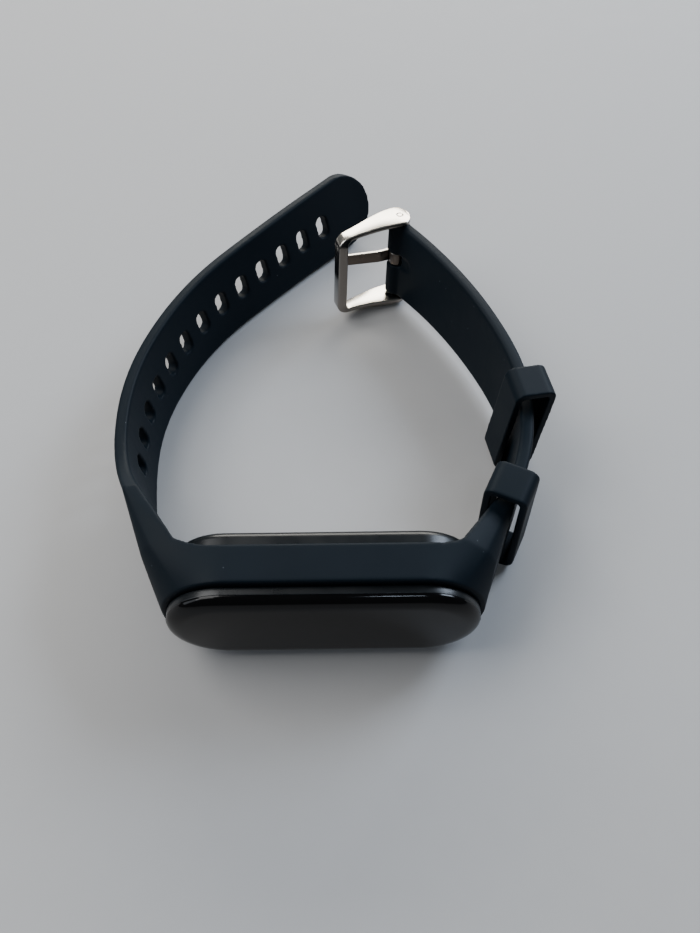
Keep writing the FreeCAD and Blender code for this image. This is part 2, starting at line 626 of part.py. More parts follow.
def spring_bar_spring():
    """Coil spring between the two tips, inside the tube."""
    origin, _, _, up = pin_frame()
    inside = (BUCKLE_HEIGHT - TUBE_LENGTH) / 2
    start = inside + TIP_SHOULDER_LENGTH + 2 * FIT_GAP + SPRING_WIRE + TIP_TRAVEL
    length = BUCKLE_HEIGHT - 2 * start
    radius = TUBE_RADIUS - TUBE_WALL - SPRING_WIRE - TIP_GAP
    helix = Part.makeHelix(SPRING_PITCH, length, radius)
    profile = Part.Wire(Part.makeCircle(SPRING_WIRE, V(radius, 0, 0), Y_AXIS))
    spring = Part.Wire(helix).makePipeShell([profile], True, True)
    turn = FreeCAD.Rotation(Z_AXIS, up)
    spring.Placement = FreeCAD.Placement(origin + up * start, turn)
    return spring


# ---- core pieces ----
def waist_size(inset):
    """Length and height of the core's waist outline, drawn in by inset."""
    trim = 2 * (WAIST_STEP + inset)
    return CORE_LENGTH - trim, CORE_HEIGHT - trim


COVER_BACK = CORE_FRONT + COVER_THICKNESS
SHELL_FRONT = COVER_BACK + ADHESIVE_THICKNESS
CAVITY_BACK = CORE_BACK - SHELL_BACK_WALL
PANEL_BACK = COVER_BACK + PANEL_THICKNESS
FRAME_FRONT = PANEL_BACK + PANEL_TO_FRAME
BOARD_FRONT = FRAME_FRONT + FRAME_THICKNESS + FIT_GAP
BOARD_BACK = BOARD_FRONT + BOARD_THICKNESS
SENSOR_BOARD_BACK = CAVITY_BACK - SENSOR_CHIP_THICKNESS - FIT_GAP
SENSOR_BOARD_FRONT = SENSOR_BOARD_BACK - SENSOR_BOARD_THICKNESS
BATTERY_BACK = SENSOR_BOARD_FRONT - BATTERY_GAP
BATTERY_FRONT = BATTERY_BACK - BATTERY_THICKNESS


def display_cover():
    """Moulded cover over the display, with a rounded front edge."""
    cover = pill(CORE_LENGTH, CORE_HEIGHT, CORE_FRONT, COVER_BACK)
    return cover.makeFillet(COVER_EDGE_RADIUS, edges_at_y(cover, CORE_FRONT))


def cover_adhesive():
    """Ring of adhesive between the cover and the shell."""
    outline = pill(CORE_LENGTH - 2 * FIT_GAP, CORE_HEIGHT - 2 * FIT_GAP, COVER_BACK, SHELL_FRONT)
    opening = 2 * LEDGE_WIDTH
    return outline.cut(pill(CORE_LENGTH - opening, CORE_HEIGHT - opening, COVER_BACK, SHELL_FRONT))


def capsule_shell():
    """Back case: a wide rim in front of the holder and a waist that fills its pocket."""
    rim = pill(CORE_LENGTH, CORE_HEIGHT, SHELL_FRONT, FLANGE_BACK)
    waist = pill(*waist_size(0), FLANGE_BACK, CORE_BACK)
    waist = waist.makeFillet(SHELL_BACK_RADIUS, edges_at_y(waist, CORE_BACK))
    shell = rim.fuse(waist)
    shell = shell.cut(pill(*waist_size(SHELL_WALL), SHELL_FRONT - 1, CAVITY_BACK))
    shell = shell.cut(disc(SENSOR_WINDOW_RADIUS + FIT_GAP / 2, 0, 0, CAVITY_BACK - 1, CORE_BACK + 1))
    for z in (-CONTACT_SPACING / 2, CONTACT_SPACING / 2):
        shell = shell.cut(disc(CONTACT_RADIUS + FIT_GAP / 2, CONTACT_X, z,
                               CAVITY_BACK - 1, CORE_BACK + 1))
    return shell


def display_panel():
    """Display glued to the back of the cover."""
    half_l, half_h = PANEL_LENGTH / 2, PANEL_HEIGHT / 2
    return block(-half_l, half_l, COVER_BACK, PANEL_BACK, -half_h, half_h)


def mid_frame():
    """Plastic frame behind the display that carries the main board."""
    frame = pill(*waist_size(SHELL_WALL + FIT_GAP), FRAME_FRONT, FRAME_FRONT + FRAME_THICKNESS)
    inner = pill(*waist_size(SHELL_WALL + FRAME_BORDER), FRAME_FRONT - 1, BOARD_FRONT + 1)
    rib = block(-FRAME_RIB_WIDTH / 2, FRAME_RIB_WIDTH / 2, FRAME_FRONT, FRAME_FRONT + FRAME_THICKNESS,
                -CORE_HEIGHT / 2 + FRAME_BORDER, CORE_HEIGHT / 2 - FRAME_BORDER)
    return frame.cut(inner).fuse(rib).removeSplitter()


def display_flex():
    """Ribbon from the display panel round the frame's opening to the main board."""
    x0 = PANEL_LENGTH / 2
    half = FLEX_WIDTH / 2
    y0 = PANEL_BACK
    y1 = BOARD_FRONT
    outer = block(x0 - FLEX_TUCK, x0 + FLEX_BULGE, y0, y1, -half, half)
    inner = block(x0 - FLEX_TUCK - 1, x0 + FLEX_BULGE - FLEX_THICKNESS, y0 + FLEX_THICKNESS,
                  y1 - FLEX_THICKNESS, -half - 1, half + 1)
    return outer.cut(inner)


def main_board():
    """Main circuit board, pill-shaped like the shell round it."""
    return pill(*waist_size(SHELL_WALL + BOARD_MARGIN), BOARD_FRONT, BOARD_BACK)


def chip(x, z, length, height, thickness):
    """A package on the back of the main board."""
    return block(x - length / 2, x + length / 2, BOARD_BACK, BOARD_BACK + thickness,
                 z - height / 2, z + height / 2)


def processor_chip():
    """Processor, beside the motor."""
    return chip(*PROCESSOR)


def radio_shield_can():
    """Tinned can over the radio."""
    return chip(*SHIELD_CAN)


def board_components():
    """Small parts beside the battery: memory, crystal and a row of capacitors."""
    parts = [chip(*MEMORY_CHIP), chip(*CRYSTAL)]
    for k in range(CAPACITOR_COUNT):
        parts.append(chip(CAPACITOR[0] + k * CAPACITOR_PITCH, *CAPACITOR[1:]))
    return Part.makeCompound(parts)


def battery():
    """Flat pouch cell."""
    x0 = BATTERY_CENTRE_X - BATTERY_LENGTH / 2
    half = BATTERY_HEIGHT / 2
    cell = block(x0, x0 + BATTERY_LENGTH, BATTERY_FRONT, BATTERY_BACK, -half, half)
    return cell.makeFillet(CELL_EDGE_RADIUS, edges_along_y(cell))


def battery_protection_board():
    """Small board folded against the end of the cell."""
    x0 = BATTERY_CENTRE_X + BATTERY_LENGTH / 2
    half = PROTECTION_BOARD_HEIGHT / 2
    return block(x0, x0 + PROTECTION_BOARD_THICKNESS, BATTERY_FRONT + PROTECTION_BOARD_FRONT,
                 BATTERY_BACK - PROTECTION_BOARD_BACK, -half, half)


def battery_leads():
    """Two leads from the protection board to the main board."""
    x = BATTERY_CENTRE_X + BATTERY_LENGTH / 2 + PROTECTION_BOARD_THICKNESS / 2
    leads = [disc(LEAD_RADIUS, x, z, BOARD_BACK, BATTERY_FRONT + PROTECTION_BOARD_FRONT)
             for z in (-LEAD_SPACING / 2, LEAD_SPACING / 2)]
    return Part.makeCompound(leads)


MOTOR_FRONT = BOARD_BACK + FIT_GAP
MOTOR_BACK = MOTOR_FRONT + MOTOR_LENGTH


def motor_case():
    """Coin motor can with its fixed shaft."""
    can = disc(MOTOR_RADIUS, MOTOR_CENTRE_X, 0, MOTOR_FRONT, MOTOR_BACK)
    hollow = disc(MOTOR_RADIUS - MOTOR_WALL, MOTOR_CENTRE_X, 0,
                  MOTOR_FRONT + MOTOR_WALL, MOTOR_BACK - MOTOR_WALL)
    shaft = disc(MOTOR_SHAFT_RADIUS, MOTOR_CENTRE_X, 0, MOTOR_FRONT, MOTOR_BACK)
    return can.cut(hollow).fuse(shaft).removeSplitter()


def motor_rotor():
    """Off-balance half disc that turns on the motor's shaft."""
    middle = (MOTOR_FRONT + MOTOR_BACK) / 2
    y0, y1 = middle - ROTOR_THICKNESS / 2, middle + ROTOR_THICKNESS / 2
    weight = disc(ROTOR_RADIUS, MOTOR_CENTRE_X, 0, y0, y1)
    half = block(MOTOR_CENTRE_X - ROTOR_RADIUS, MOTOR_CENTRE_X + ROTOR_RADIUS, y0, y1,
                 -ROTOR_RADIUS, 0)
    hub = disc(ROTOR_HUB_RADIUS, MOTOR_CENTRE_X, 0, y0, y1)
    rotor = weight.common(half).fuse(hub).removeSplitter()
    return rotor.cut(disc(MOTOR_SHAFT_RADIUS + MOTOR_RUNNING_GAP, MOTOR_CENTRE_X, 0, y0, y1))


def sensor_board():
    """Small board behind the window in the back."""
    half_l, half_h = SENSOR_BOARD_LENGTH / 2, SENSOR_BOARD_HEIGHT / 2
    return block(-half_l, half_l, SENSOR_BOARD_FRONT, SENSOR_BOARD_BACK, -half_h, half_h)


def sensor_chip(x, size):
    """A square optical part on the sensor board."""
    half = size / 2
    return block(x - half, x + half, SENSOR_BOARD_BACK,
                 SENSOR_BOARD_BACK + SENSOR_CHIP_THICKNESS, -half, half)


def green_leds():
    """Two green lights, one each side of the photodiode."""
    return Part.makeCompound([sensor_chip(x, SENSOR_LED_SIZE)
                              for x in (-SENSOR_LED_SPACING, SENSOR_LED_SPACING)])


def photodiode():
    """Light sensor behind the middle of the window."""
    return sensor_chip(0, PHOTODIODE_SIZE)


def sensor_baffle():
    """Light-tight frame between the lights and the photodiode."""
    half = BAFFLE_INNER / 2 + BAFFLE_WALL
    inner = BAFFLE_INNER / 2
    top = SENSOR_BOARD_BACK + SENSOR_CHIP_THICKNESS
    ring = block(-half, half, SENSOR_BOARD_BACK, top, -half, half)
    return ring.cut(block(-inner, inner, SENSOR_BOARD_BACK - 1, top + 1, -inner, inner))


def sensor_window():
    """Clear window in the back, slightly crowned."""
    flat = disc(SENSOR_WINDOW_RADIUS, 0, 0, CAVITY_BACK, CORE_BACK)
    rise = SENSOR_WINDOW_CROWN
    ball_radius = (SENSOR_WINDOW_RADIUS ** 2 + rise ** 2) / (2 * rise)
    ball = Part.makeSphere(ball_radius, V(0, CORE_BACK + rise - ball_radius, MID_Z))
    cap = disc(SENSOR_WINDOW_RADIUS, 0, 0, CORE_BACK - FIT_GAP, CORE_BACK + rise * 2).common(ball)
    return flat.fuse(cap).removeSplitter()


def charging_contacts():
    """Two gold pads flush with the back."""
    pads = [disc(CONTACT_RADIUS, CONTACT_X, z, CAVITY_BACK - CONTACT_INSIDE, CORE_BACK)
            for z in (-CONTACT_SPACING / 2, CONTACT_SPACING / 2)]
    return Part.makeCompound(pads)


def antenna():
    """Thin metal strip on the main board's end."""
    x1 = CORE_LENGTH / 2 - WAIST_STEP - SHELL_WALL - ANTENNA_TO_SHELL
    return block(x1 - ANTENNA_THICKNESS, x1, BOARD_BACK, BOARD_BACK + ANTENNA_WIDTH,
                 -ANTENNA_LENGTH / 2, ANTENNA_LENGTH / 2)


NODES = {
    "strap_holder": strap_holder,
    "long_arm": long_arm,
    "short_arm": short_arm,
    "keeper_near": lambda: keeper(NEAR_KEEPER_AT, 0.0, 0.0),
    "keeper_far": lambda: keeper(FAR_KEEPER_AT, FAR_KEEPER_LEAN, FAR_KEEPER_SKEW),
    "buckle_frame": buckle_frame,
    "buckle_tongue": buckle_tongue,
    "spring_bar_tube": spring_bar_tube,
    "spring_bar_tip_lower": lambda: spring_bar_tip(False),
    "spring_bar_tip_upper": lambda: spring_bar_tip(True),
    "spring_bar_spring": spring_bar_spring,
    "display_cover": display_cover,
    "cover_adhesive": cover_adhesive,
    "capsule_shell": capsule_shell,
    "display_panel": display_panel,
    "mid_frame": mid_frame,
    "display_flex": display_flex,
    "main_board": main_board,
    "processor_chip": processor_chip,
    "radio_shield_can": radio_shield_can,
    "board_components": board_components,
    "battery": battery,
    "battery_protection_board": battery_protection_board,
    "battery_leads": battery_leads,
    "motor_case": motor_case,
    "motor_rotor": motor_rotor,
    "sensor_board": sensor_board,
    "green_leds": green_leds,
    "photodiode": photodiode,
    "sensor_baffle": sensor_baffle,
    "sensor_window": sensor_window,
    "charging_contacts": charging_contacts,
    "antenna": antenna,
}


def main():
    """Builds every node, moves it to the part's own origin and writes it."""
    os.makedirs("parts", exist_ok=True)
    shapes = {name: make() for name, make in NODES.items()}
    box = FreeCAD.BoundBox()
    for shape in shapes.values():
        box.add(shape.optimalBoundingBox(False, False))
    shift = V(-(box.XMin + box.XMax) / 2, -(box.YMin + box.YMax) / 2, -box.ZMin)
    print("size %.2f x %.2f x %.2f mm" % (box.XLength, box.YLength, box.ZLength))
    print("shift", tuple(round(c, 4) for c in shift))
    origin, to_bar, inward, up = pin_frame()
    for label, point in (("long flex", flex_point(LONG_PATH, LONG_FLEX_AT)),
                         ("short flex", flex_point(SHORT_PATH, SHORT_FLEX_AT)),
                         ("pin foot", origin)):
        print(label, tuple(round(c, 4) for c in point + shift))
    print("pin axis", tuple(round(c, 5) for c in up))
    for name, shape in shapes.items():
        shape.translate(shift)
        state = "" if shape.isValid() else "  NOT VALID"
        print("%-26s %d solid(s) %9.2f mm3, lowest %.3f%s"
              % (name, len(shape.Solids), shape.Volume, shape.BoundBox.ZMin, state))
        shape.exportStep("parts/%s.step" % name)


if __name__ == "__main__":
    main()
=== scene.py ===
"""Fitness tracker band: moulded strap, glossy core, keepers and pin buckle, on the CAD frame."""
import json
import logging
import math
from dataclasses import dataclass
from enum import Enum
from typing import Iterable, Sequence

import bmesh
import bpy
from bmesh.types import BMEdge, BMVert, BMesh
from bpy.types import Material, Mesh, Node, NodeSocket, NodeTree, Object
from mathutils import Matrix, Vector


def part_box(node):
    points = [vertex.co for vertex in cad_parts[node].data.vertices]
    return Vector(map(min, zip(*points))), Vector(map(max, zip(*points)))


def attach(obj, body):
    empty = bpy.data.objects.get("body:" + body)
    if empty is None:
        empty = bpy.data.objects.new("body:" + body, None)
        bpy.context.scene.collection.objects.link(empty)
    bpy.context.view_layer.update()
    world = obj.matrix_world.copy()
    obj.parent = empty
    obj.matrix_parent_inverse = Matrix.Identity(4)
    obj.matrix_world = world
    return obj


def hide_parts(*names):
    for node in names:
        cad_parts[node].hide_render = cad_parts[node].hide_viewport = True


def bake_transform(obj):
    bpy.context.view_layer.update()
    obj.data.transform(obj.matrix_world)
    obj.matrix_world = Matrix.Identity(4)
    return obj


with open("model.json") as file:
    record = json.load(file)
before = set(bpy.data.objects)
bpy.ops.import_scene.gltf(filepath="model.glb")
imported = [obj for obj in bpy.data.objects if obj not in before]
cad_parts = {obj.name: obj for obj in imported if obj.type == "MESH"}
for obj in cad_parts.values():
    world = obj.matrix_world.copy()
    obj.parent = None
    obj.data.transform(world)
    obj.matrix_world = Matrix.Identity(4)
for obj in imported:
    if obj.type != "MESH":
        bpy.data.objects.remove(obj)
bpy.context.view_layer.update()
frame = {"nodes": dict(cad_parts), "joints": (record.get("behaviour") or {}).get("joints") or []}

LOG = logging.getLogger("tracker_band")
MM = 0.001
# The Mix node's colour inputs and its colour output.
MIX_A, MIX_B, MIX_COLOUR = 6, 7, 2
# Points closer than this, in millimetres, are one: on a CAD copy, and on a skinned stack of rings.
CAD_WELD, RING_WELD = 0.0005, 0.002
# A corner radius is at most this share of its half side.
ROUNDEST = 0.98


class Side(Enum):
    """The two arms of the strap, by the body each rides on."""

    LONG = "long_arm"
    SHORT = "short_arm"


class Grain(Enum):
    """How a finish's fine pattern runs."""

    EVEN = "even"
    BRUSHED = "brushed"


# ---- helpers
def linear(hex_colour: str) -> tuple[float, float, float, float]:
    """Turns an sRGB hex colour to linear light.

    Args:
        hex_colour: six hex digits, such as "1A2028".

    Returns:
        Red, green, blue and alpha in linear light.
    """
    channels = [int(hex_colour[i:i + 2], 16) / 255 for i in (0, 2, 4)]
    values = [c / 12.92 if c <= 0.04045 else ((c + 0.055) / 1.055) ** 2.4 for c in channels]
    return values[0], values[1], values[2], 1.0


def add_node(tree: NodeTree, kind: str, links: dict | None = None, **settings: object) -> Node:
    """Adds a node, sets its properties, and fills its inputs with values or links.

    Args:
        tree: the node tree.
        kind: the node's type name.
        links: input name or index to an output socket or a plain value.
        **settings: properties of the node.

    Returns:
        The new node.
    """
    node = tree.nodes.new(kind)
    for key, value in settings.items():
        setattr(node, key, value)
    for key, value in (links or {}).items():
        if isinstance(value, NodeSocket):
            tree.links.new(value, node.inputs[key])
        else:
            node.inputs[key].default_value = value
    return node


def mesh_object(name: str, mesh: Mesh) -> Object:
    """Links a mesh into the scene as an object at the origin.

    Args:
        name: the object's name.
        mesh: its mesh, already in place.

    Returns:
        The object.
    """
    obj = bpy.data.objects.new(name, mesh)
    bpy.context.scene.collection.objects.link(obj)
    return obj


def settled(obj: Object) -> Object:
    """Turns an object's modifiers into plain mesh and removes them.

    Args:
        obj: the object with live modifiers.

    Returns:
        The same object, with a new mesh.
    """
    graph = bpy.context.evaluated_depsgraph_get()
    graph.update()
    mesh = bpy.data.meshes.new_from_object(obj.evaluated_get(graph))
    obj.modifiers.clear()
    obj.data = mesh
    return obj


def shade(mesh: Mesh, angle_deg: float) -> None:
    """Shades a mesh smooth, with edges sharper than the angle kept crisp.

    Args:
        mesh: the mesh.
        angle_deg: the largest angle that is still smoothed, in degrees.
    """
    mesh.shade_smooth()
    mesh.set_sharp_from_angle(angle=math.radians(angle_deg))


def node_copy(node: str, name: str) -> Object:
    """Copies a CAD node's mesh and merges its loose triangles.

    Args:
        node: the CAD node.
        name: the new object's name.

    Returns:
        The copy, at the origin.
    """
    mesh = frame["nodes"][node].data.copy()
    mesh.materials.clear()
    form = bmesh.new()
    form.from_mesh(mesh)
    bmesh.ops.remove_doubles(form, verts=form.verts, dist=CAD_WELD * MM)
    form.to_mesh(mesh)
    form.free()
    return mesh_object(name, mesh)


def grid_mesh(name: str, rings: Sequence[Sequence[Vector]], capped: bool = True) -> Mesh:
    """Skins a stack of closed rings with quads.

    Args:
        name: the mesh's name.
        rings: rings of equal length, in order.
        capped: whether the two ends get a face; if not, the end rings close by themselves.

    Returns:
        The mesh, with its doubles merged and its faces pointing out.
    """
    form = bmesh.new()
    rows = [[form.verts.new(point) for point in ring] for ring in rings]
    size = len(rows[0])
    for first, second in zip(rows, rows[1:]):
        for i in range(size):
            form.faces.new((first[i], first[(i + 1) % size], second[(i + 1) % size], second[i]))
    if capped:
        form.faces.new(rows[0])
        form.faces.new(rows[-1])
    bmesh.ops.remove_doubles(form, verts=form.verts, dist=RING_WELD * MM)
    bmesh.ops.recalc_face_normals(form, faces=form.faces)
    mesh = bpy.data.meshes.new(name)
    form.to_mesh(mesh)
    form.free()
    return mesh


def rounded_section(half_a: float, half_b: float, radius: float,
                    steps: int = 5) -> list[tuple[float, float]]:
    """Points of a rounded rectangle centred on zero.

    Args:
        half_a: half its first side.
        half_b: half its second side.
        radius: corner radius.
        steps: points on each corner.

    Returns:
        The outline's points, anticlockwise.
    """
    radius = max(min(radius, half_a * ROUNDEST, half_b * ROUNDEST), 0.0)
    points = []
    for quarter, (sa, sb) in enumerate(((1, 1), (-1, 1), (-1, -1), (1, -1))):
        for i in range(steps):
            turn = math.radians(90) * (quarter + i / (steps - 1))
            points.append((sa * (half_a - radius) + radius * math.cos(turn),
                           sb * (half_b - radius) + radius * math.sin(turn)))
    return points


# ---- finishes
@dataclass(frozen=True)
class Finish:
    """A surface finish with fine grain, slight mottling and uneven gloss.

    Lengths are in millimetres: `grain` and `mottle_size` are the patterns' spacings and `relief` is
    the bump's height.
    """

    name: str
    colour: str
    roughness: float
    metallic: float = 0.0
    ior: float = 1.5
    specular: float = 0.5
    grain: float = 0.25
    relief: float = 0.0
    mottle: float = 0.15
    mottle_size: float = 4.0
    gloss_spread: float = 0.06
    run: Grain = Grain.EVEN
    coat: float = 0.0

    STRETCH = {Grain.EVEN: (1.0, 1.0, 1.0), Grain.BRUSHED: (1.0, 1.0, 0.03)}
    FINE_DETAIL, BROAD_DETAIL = 3.0, 4.0
    NOISE_LOW, NOISE_HIGH = 0.3, 0.7
    LEAST_ROUGHNESS = 0.02
    COAT_ROUGHNESS = 0.06

    def build(self) -> Material:
        """Makes the material.

        Returns:
            The material, with its nodes.
        """
        material = bpy.data.materials.new(self.name)
        material.use_nodes = True
        tree = material.node_tree
        shader = tree.nodes["Principled BSDF"]
        place = add_node(tree, "ShaderNodeTexCoord").outputs["Object"]
        scaled = add_node(tree, "ShaderNodeMapping", {"Vector": place, "Scale": self.STRETCH[self.run]})
        fine = add_node(tree, "ShaderNodeTexNoise", {
            "Vector": scaled.outputs[0], "Scale": 1 / (self.grain * MM), "Detail": self.FINE_DETAIL})
        broad = add_node(tree, "ShaderNodeTexNoise", {
            "Vector": place, "Scale": 1 / (self.mottle_size * MM), "Detail": self.BROAD_DETAIL})
        base = linear(self.colour)
        dark = tuple(c * (1 - self.mottle) for c in base[:3]) + (1.0,)
        light = tuple(min(1.0, c * (1 + self.mottle)) for c in base[:3]) + (1.0,)
        tint = add_node(tree, "ShaderNodeMix", {
            "Factor": broad.outputs["Fac"], MIX_A: dark, MIX_B: light}, data_type="RGBA")
        colour = self.decorate(tree, place, tint.outputs[MIX_COLOUR])
        tree.links.new(colour, shader.inputs["Base Color"])
        gloss = add_node(tree, "ShaderNodeMapRange", {
            "Value": broad.outputs["Fac"], "From Min": self.NOISE_LOW, "From Max": self.NOISE_HIGH,
            "To Min": max(self.LEAST_ROUGHNESS, self.roughness - self.gloss_spread),
            "To Max": self.roughness + self.gloss_spread})
        tree.links.new(gloss.outputs[0], shader.inputs["Roughness"])
        if self.relief > 0:
            bump = add_node(tree, "ShaderNodeBump", {
                "Height": fine.outputs["Fac"], "Distance": self.relief * MM, "Strength": 1.0})
            tree.links.new(bump.outputs[0], shader.inputs["Normal"])
        shader.inputs["Metallic"].default_value = self.metallic
        shader.inputs["IOR"].default_value = self.ior
        shader.inputs["Specular IOR Level"].default_value = self.specular
        shader.inputs["Coat Weight"].default_value = self.coat
        shader.inputs["Coat Roughness"].default_value = self.COAT_ROUGHNESS
        return material

    def decorate(self, tree: NodeTree, place: NodeSocket, colour: NodeSocket) -> NodeSocket:
        """Adds nothing; a finish with a pattern overrides this."""
        return colour


@dataclass(frozen=True)
class DustyFinish(Finish):
    """A finish that holds pale specks of lint, as silicone does. Lengths are in millimetres."""

    speck_spacing: float = 2.6
    speck_size: float = 0.10
    speck_core: float = 0.6
    speck_strength: float = 0.55
    speck_colour: str = "6E747C"

    def decorate(self, tree: NodeTree, place: NodeSocket, colour: NodeSocket) -> NodeSocket:
        """Mixes sparse round specks over the colour.

        Args:
            tree: the material's tree.
            place: object coordinates.
            colour: the colour so far.

        Returns:
            The colour with specks.
        """
        cells = add_node(tree, "ShaderNodeTexVoronoi", {
            "Vector": place, "Scale": 1 / (self.speck_spacing * MM)})
        edge = self.speck_size / self.speck_spacing
        dot = add_node(tree, "ShaderNodeMapRange", {
            "Value": cells.outputs["Distance"], "From Min": edge * self.speck_core, "From Max": edge,
            "To Min": self.speck_strength, "To Max": 0.0})
        mix = add_node(tree, "ShaderNodeMix", {
            "Factor": dot.outputs[0], MIX_A: colour, MIX_B: linear(self.speck_colour)}, data_type="RGBA")
        return mix.outputs[MIX_COLOUR]


@dataclass(frozen=True)
class TracedFinish(Finish):
    """A printed circuit finish: rectangular copper traces under the mask. Lengths are in millimetres."""

    trace_colour: str = "2F6B4A"
    trace_pitch: float = 1.4
    trace_width: float = 0.05

    def decorate(self, tree: NodeTree, place: NodeSocket, colour: NodeSocket) -> NodeSocket:
        """Mixes a brick pattern of traces over the colour.

        Args:
            tree: the material's tree.
            place: object coordinates.
            colour: the colour so far.

        Returns:
            The colour with traces.
        """
        turned = add_node(tree, "ShaderNodeMapping", {
            "Vector": place, "Rotation": (math.radians(90), 0.0, 0.0)})
        bricks = add_node(tree, "ShaderNodeTexBrick", {
            "Vector": turned.outputs[0], "Scale": 1 / (self.trace_pitch * MM),
            "Mortar Size": self.trace_width})
        mix = add_node(tree, "ShaderNodeMix", {
            "Factor": bricks.outputs["Fac"], MIX_A: colour, MIX_B: linear(self.trace_colour)},
            data_type="RGBA")
        return mix.outputs[MIX_COLOUR]


@dataclass(frozen=True)
class ShadedSidesMetal(Finish):
    """A polished metal with painted shade: a darker colour painted on the faces that stand upright."""

    painted_side_shade_colour: str = "8B8681"
    steep_below: float = 0.35
    flat_above: float = 0.8

    def decorate(self, tree: NodeTree, place: NodeSocket, colour: NodeSocket) -> NodeSocket:
        """Mixes the darker painted shade in where a face stands upright.

        Args:
            tree: the material's tree.
            place: object coordinates; not used.
            colour: the colour so far.

        Returns:
            The colour with painted shade on its upright faces.
        """
        normal = add_node(tree, "ShaderNodeTexCoord").outputs["Normal"]
        height = add_node(tree, "ShaderNodeSeparateXYZ", {"Vector": normal}).outputs["Z"]
        steep = add_node(tree, "ShaderNodeMath", {0: height}, operation="ABSOLUTE")
        flat = add_node(tree, "ShaderNodeMapRange", {
            "Value": steep.outputs[0], "From Min": self.steep_below, "From Max": self.flat_above})
        # Painted shade: the side colour goes on upright faces, and the flats keep the metal's own colour.
        mix = add_node(tree, "ShaderNodeMix", {
            "Factor": flat.outputs[0], MIX_A: linear(self.painted_side_shade_colour), MIX_B: colour}, data_type="RGBA")
        return mix.outputs[MIX_COLOUR]


# Compression-moulded silicone: a dead matt, nearly black navy that greys at grazing light.
SILICONE = DustyFinish("silicone_moulded_navy", "0B141B", 0.52, ior=1.41, specular=0.11, grain=0.18,
                       relief=0.010, mottle=0.12, mottle_size=9.0, gloss_spread=0.04)
# Hard-coated acrylic: deep black with a wet gloss and faint finger haze.
COVER = Finish("acrylic_hard_coated_black", "040405", 0.10, ior=1.49, specular=0.22, grain=0.5,
               mottle=0.1, mottle_size=7.0, gloss_spread=0.04)
# Injection-moulded polycarbonate: black, a little softer in its shine than the cover.
SHELL = Finish("polycarbonate_moulded_black", "0B0F12", 0.30, ior=1.58, specular=0.25, grain=0.3,
               relief=0.002, mottle=0.1, gloss_spread=0.05)
# Polished stainless steel: warm white flats, a darker painted shade on the upright sides, and fine lines
# up the part.
STEEL = ShadedSidesMetal("stainless_steel_polished", "D2CCC2", 0.22, metallic=1.0, grain=0.09, relief=0.0012,
                   mottle=0.04, mottle_size=3.0, gloss_spread=0.05, run=Grain.BRUSHED)
# Stamped stainless steel: the same lines, with a darker and browner painted shade on the upright sides.
TONGUE = ShadedSidesMetal("stainless_steel_stamped", "C9C2B8", 0.3, metallic=1.0, grain=0.09, relief=0.0012,
                    mottle=0.06, mottle_size=2.0, gloss_spread=0.05, run=Grain.BRUSHED,
                    painted_side_shade_colour="6B625B")
# Acrylic foam adhesive, die cut: a dull, dry black.
ADHESIVE = Finish("acrylic_adhesive_black", "101012", 0.6, grain=0.2, relief=0.004)
# Laminated display glass, switched off: blue-black and mirror smooth.
DISPLAY = Finish("display_glass_laminated", "0A0B10", 0.08, mottle=0.05, gloss_spread=0.02)
# Polycarbonate from a spark-eroded mould: a fine, even matt.
INNER = Finish("polycarbonate_moulded_matt", "1C1D1F", 0.55, grain=0.15, relief=0.006)
# Polyimide film over copper: amber, clear and slightly uneven.
FLEX = Finish("polyimide_film_amber", "B06A1C", 0.3, mottle=0.2, mottle_size=1.5)
# Filled epoxy, transfer moulded: dark grey with a sandy skin.
CHIP = Finish("epoxy_moulded_package", "1B1C1E", 0.5, grain=0.08, relief=0.004)
# Tinned sheet steel, pressed: pale grey with a soft shine.
CAN = Finish("tinned_steel_pressed", "B9BBBD", 0.3, metallic=1.0, grain=0.2, relief=0.002)
# Aluminium pouch foil, heat sealed: silvery and a little crinkled.
FOIL = Finish("aluminium_pouch_foil", "B4B8BC", 0.35, metallic=1.0, grain=0.6, relief=0.01)
# Bare copper, drawn: a bright orange brown.
COPPER = Finish("copper_bare", "C77B50", 0.28, metallic=1.0, grain=0.2, relief=0.002)
# Sintered tungsten alloy: dense grey with a fine, dry grain.
TUNGSTEN = Finish("tungsten_sintered", "77797D", 0.45, metallic=1.0, grain=0.1, relief=0.004)
# Cast clear epoxy over a green die: glassy, pale yellow green.
LENS = Finish("epoxy_clear_cast", "B9CFA8", 0.15, mottle=0.1)
# Tinted acrylic, polished and coated: a nearly black window.
WINDOW = Finish("acrylic_tinted_window", "0C0F10", 0.06, mottle=0.05, gloss_spread=0.02, coat=0.5)
# Gold plate over nickel: a warm yellow shine.
GOLD = Finish("gold_plated_contact", "D9A441", 0.22, metallic=1.0, grain=0.1, relief=0.001)
# Glass epoxy under green solder mask, with paler traces.
BOARD = TracedFinish("glass_epoxy_solder_mask", "12402B", 0.4)
# Honed pale stone: an even warm grey with barely visible clouding.
FLOOR = Finish("stone_honed_pale", "A5A4A3", 0.75, specular=0.3, mottle=0.03, mottle_size=5.0)
FINISHES = {
    "adhesive": ADHESIVE, "display": DISPLAY, "inner_plastic": INNER, "flex_film": FLEX,
    "chip_plastic": CHIP, "tinned_steel": CAN, "cell_foil": FOIL, "copper": COPPER,
    "tungsten": TUNGSTEN, "led_epoxy": LENS, "window_clear": WINDOW, "gold": GOLD,
    "circuit_board": BOARD, "steel": STEEL, "tongue": TONGUE, "shell_plastic": SHELL,
    "cover_gloss": COVER, "silicone": SILICONE,
}


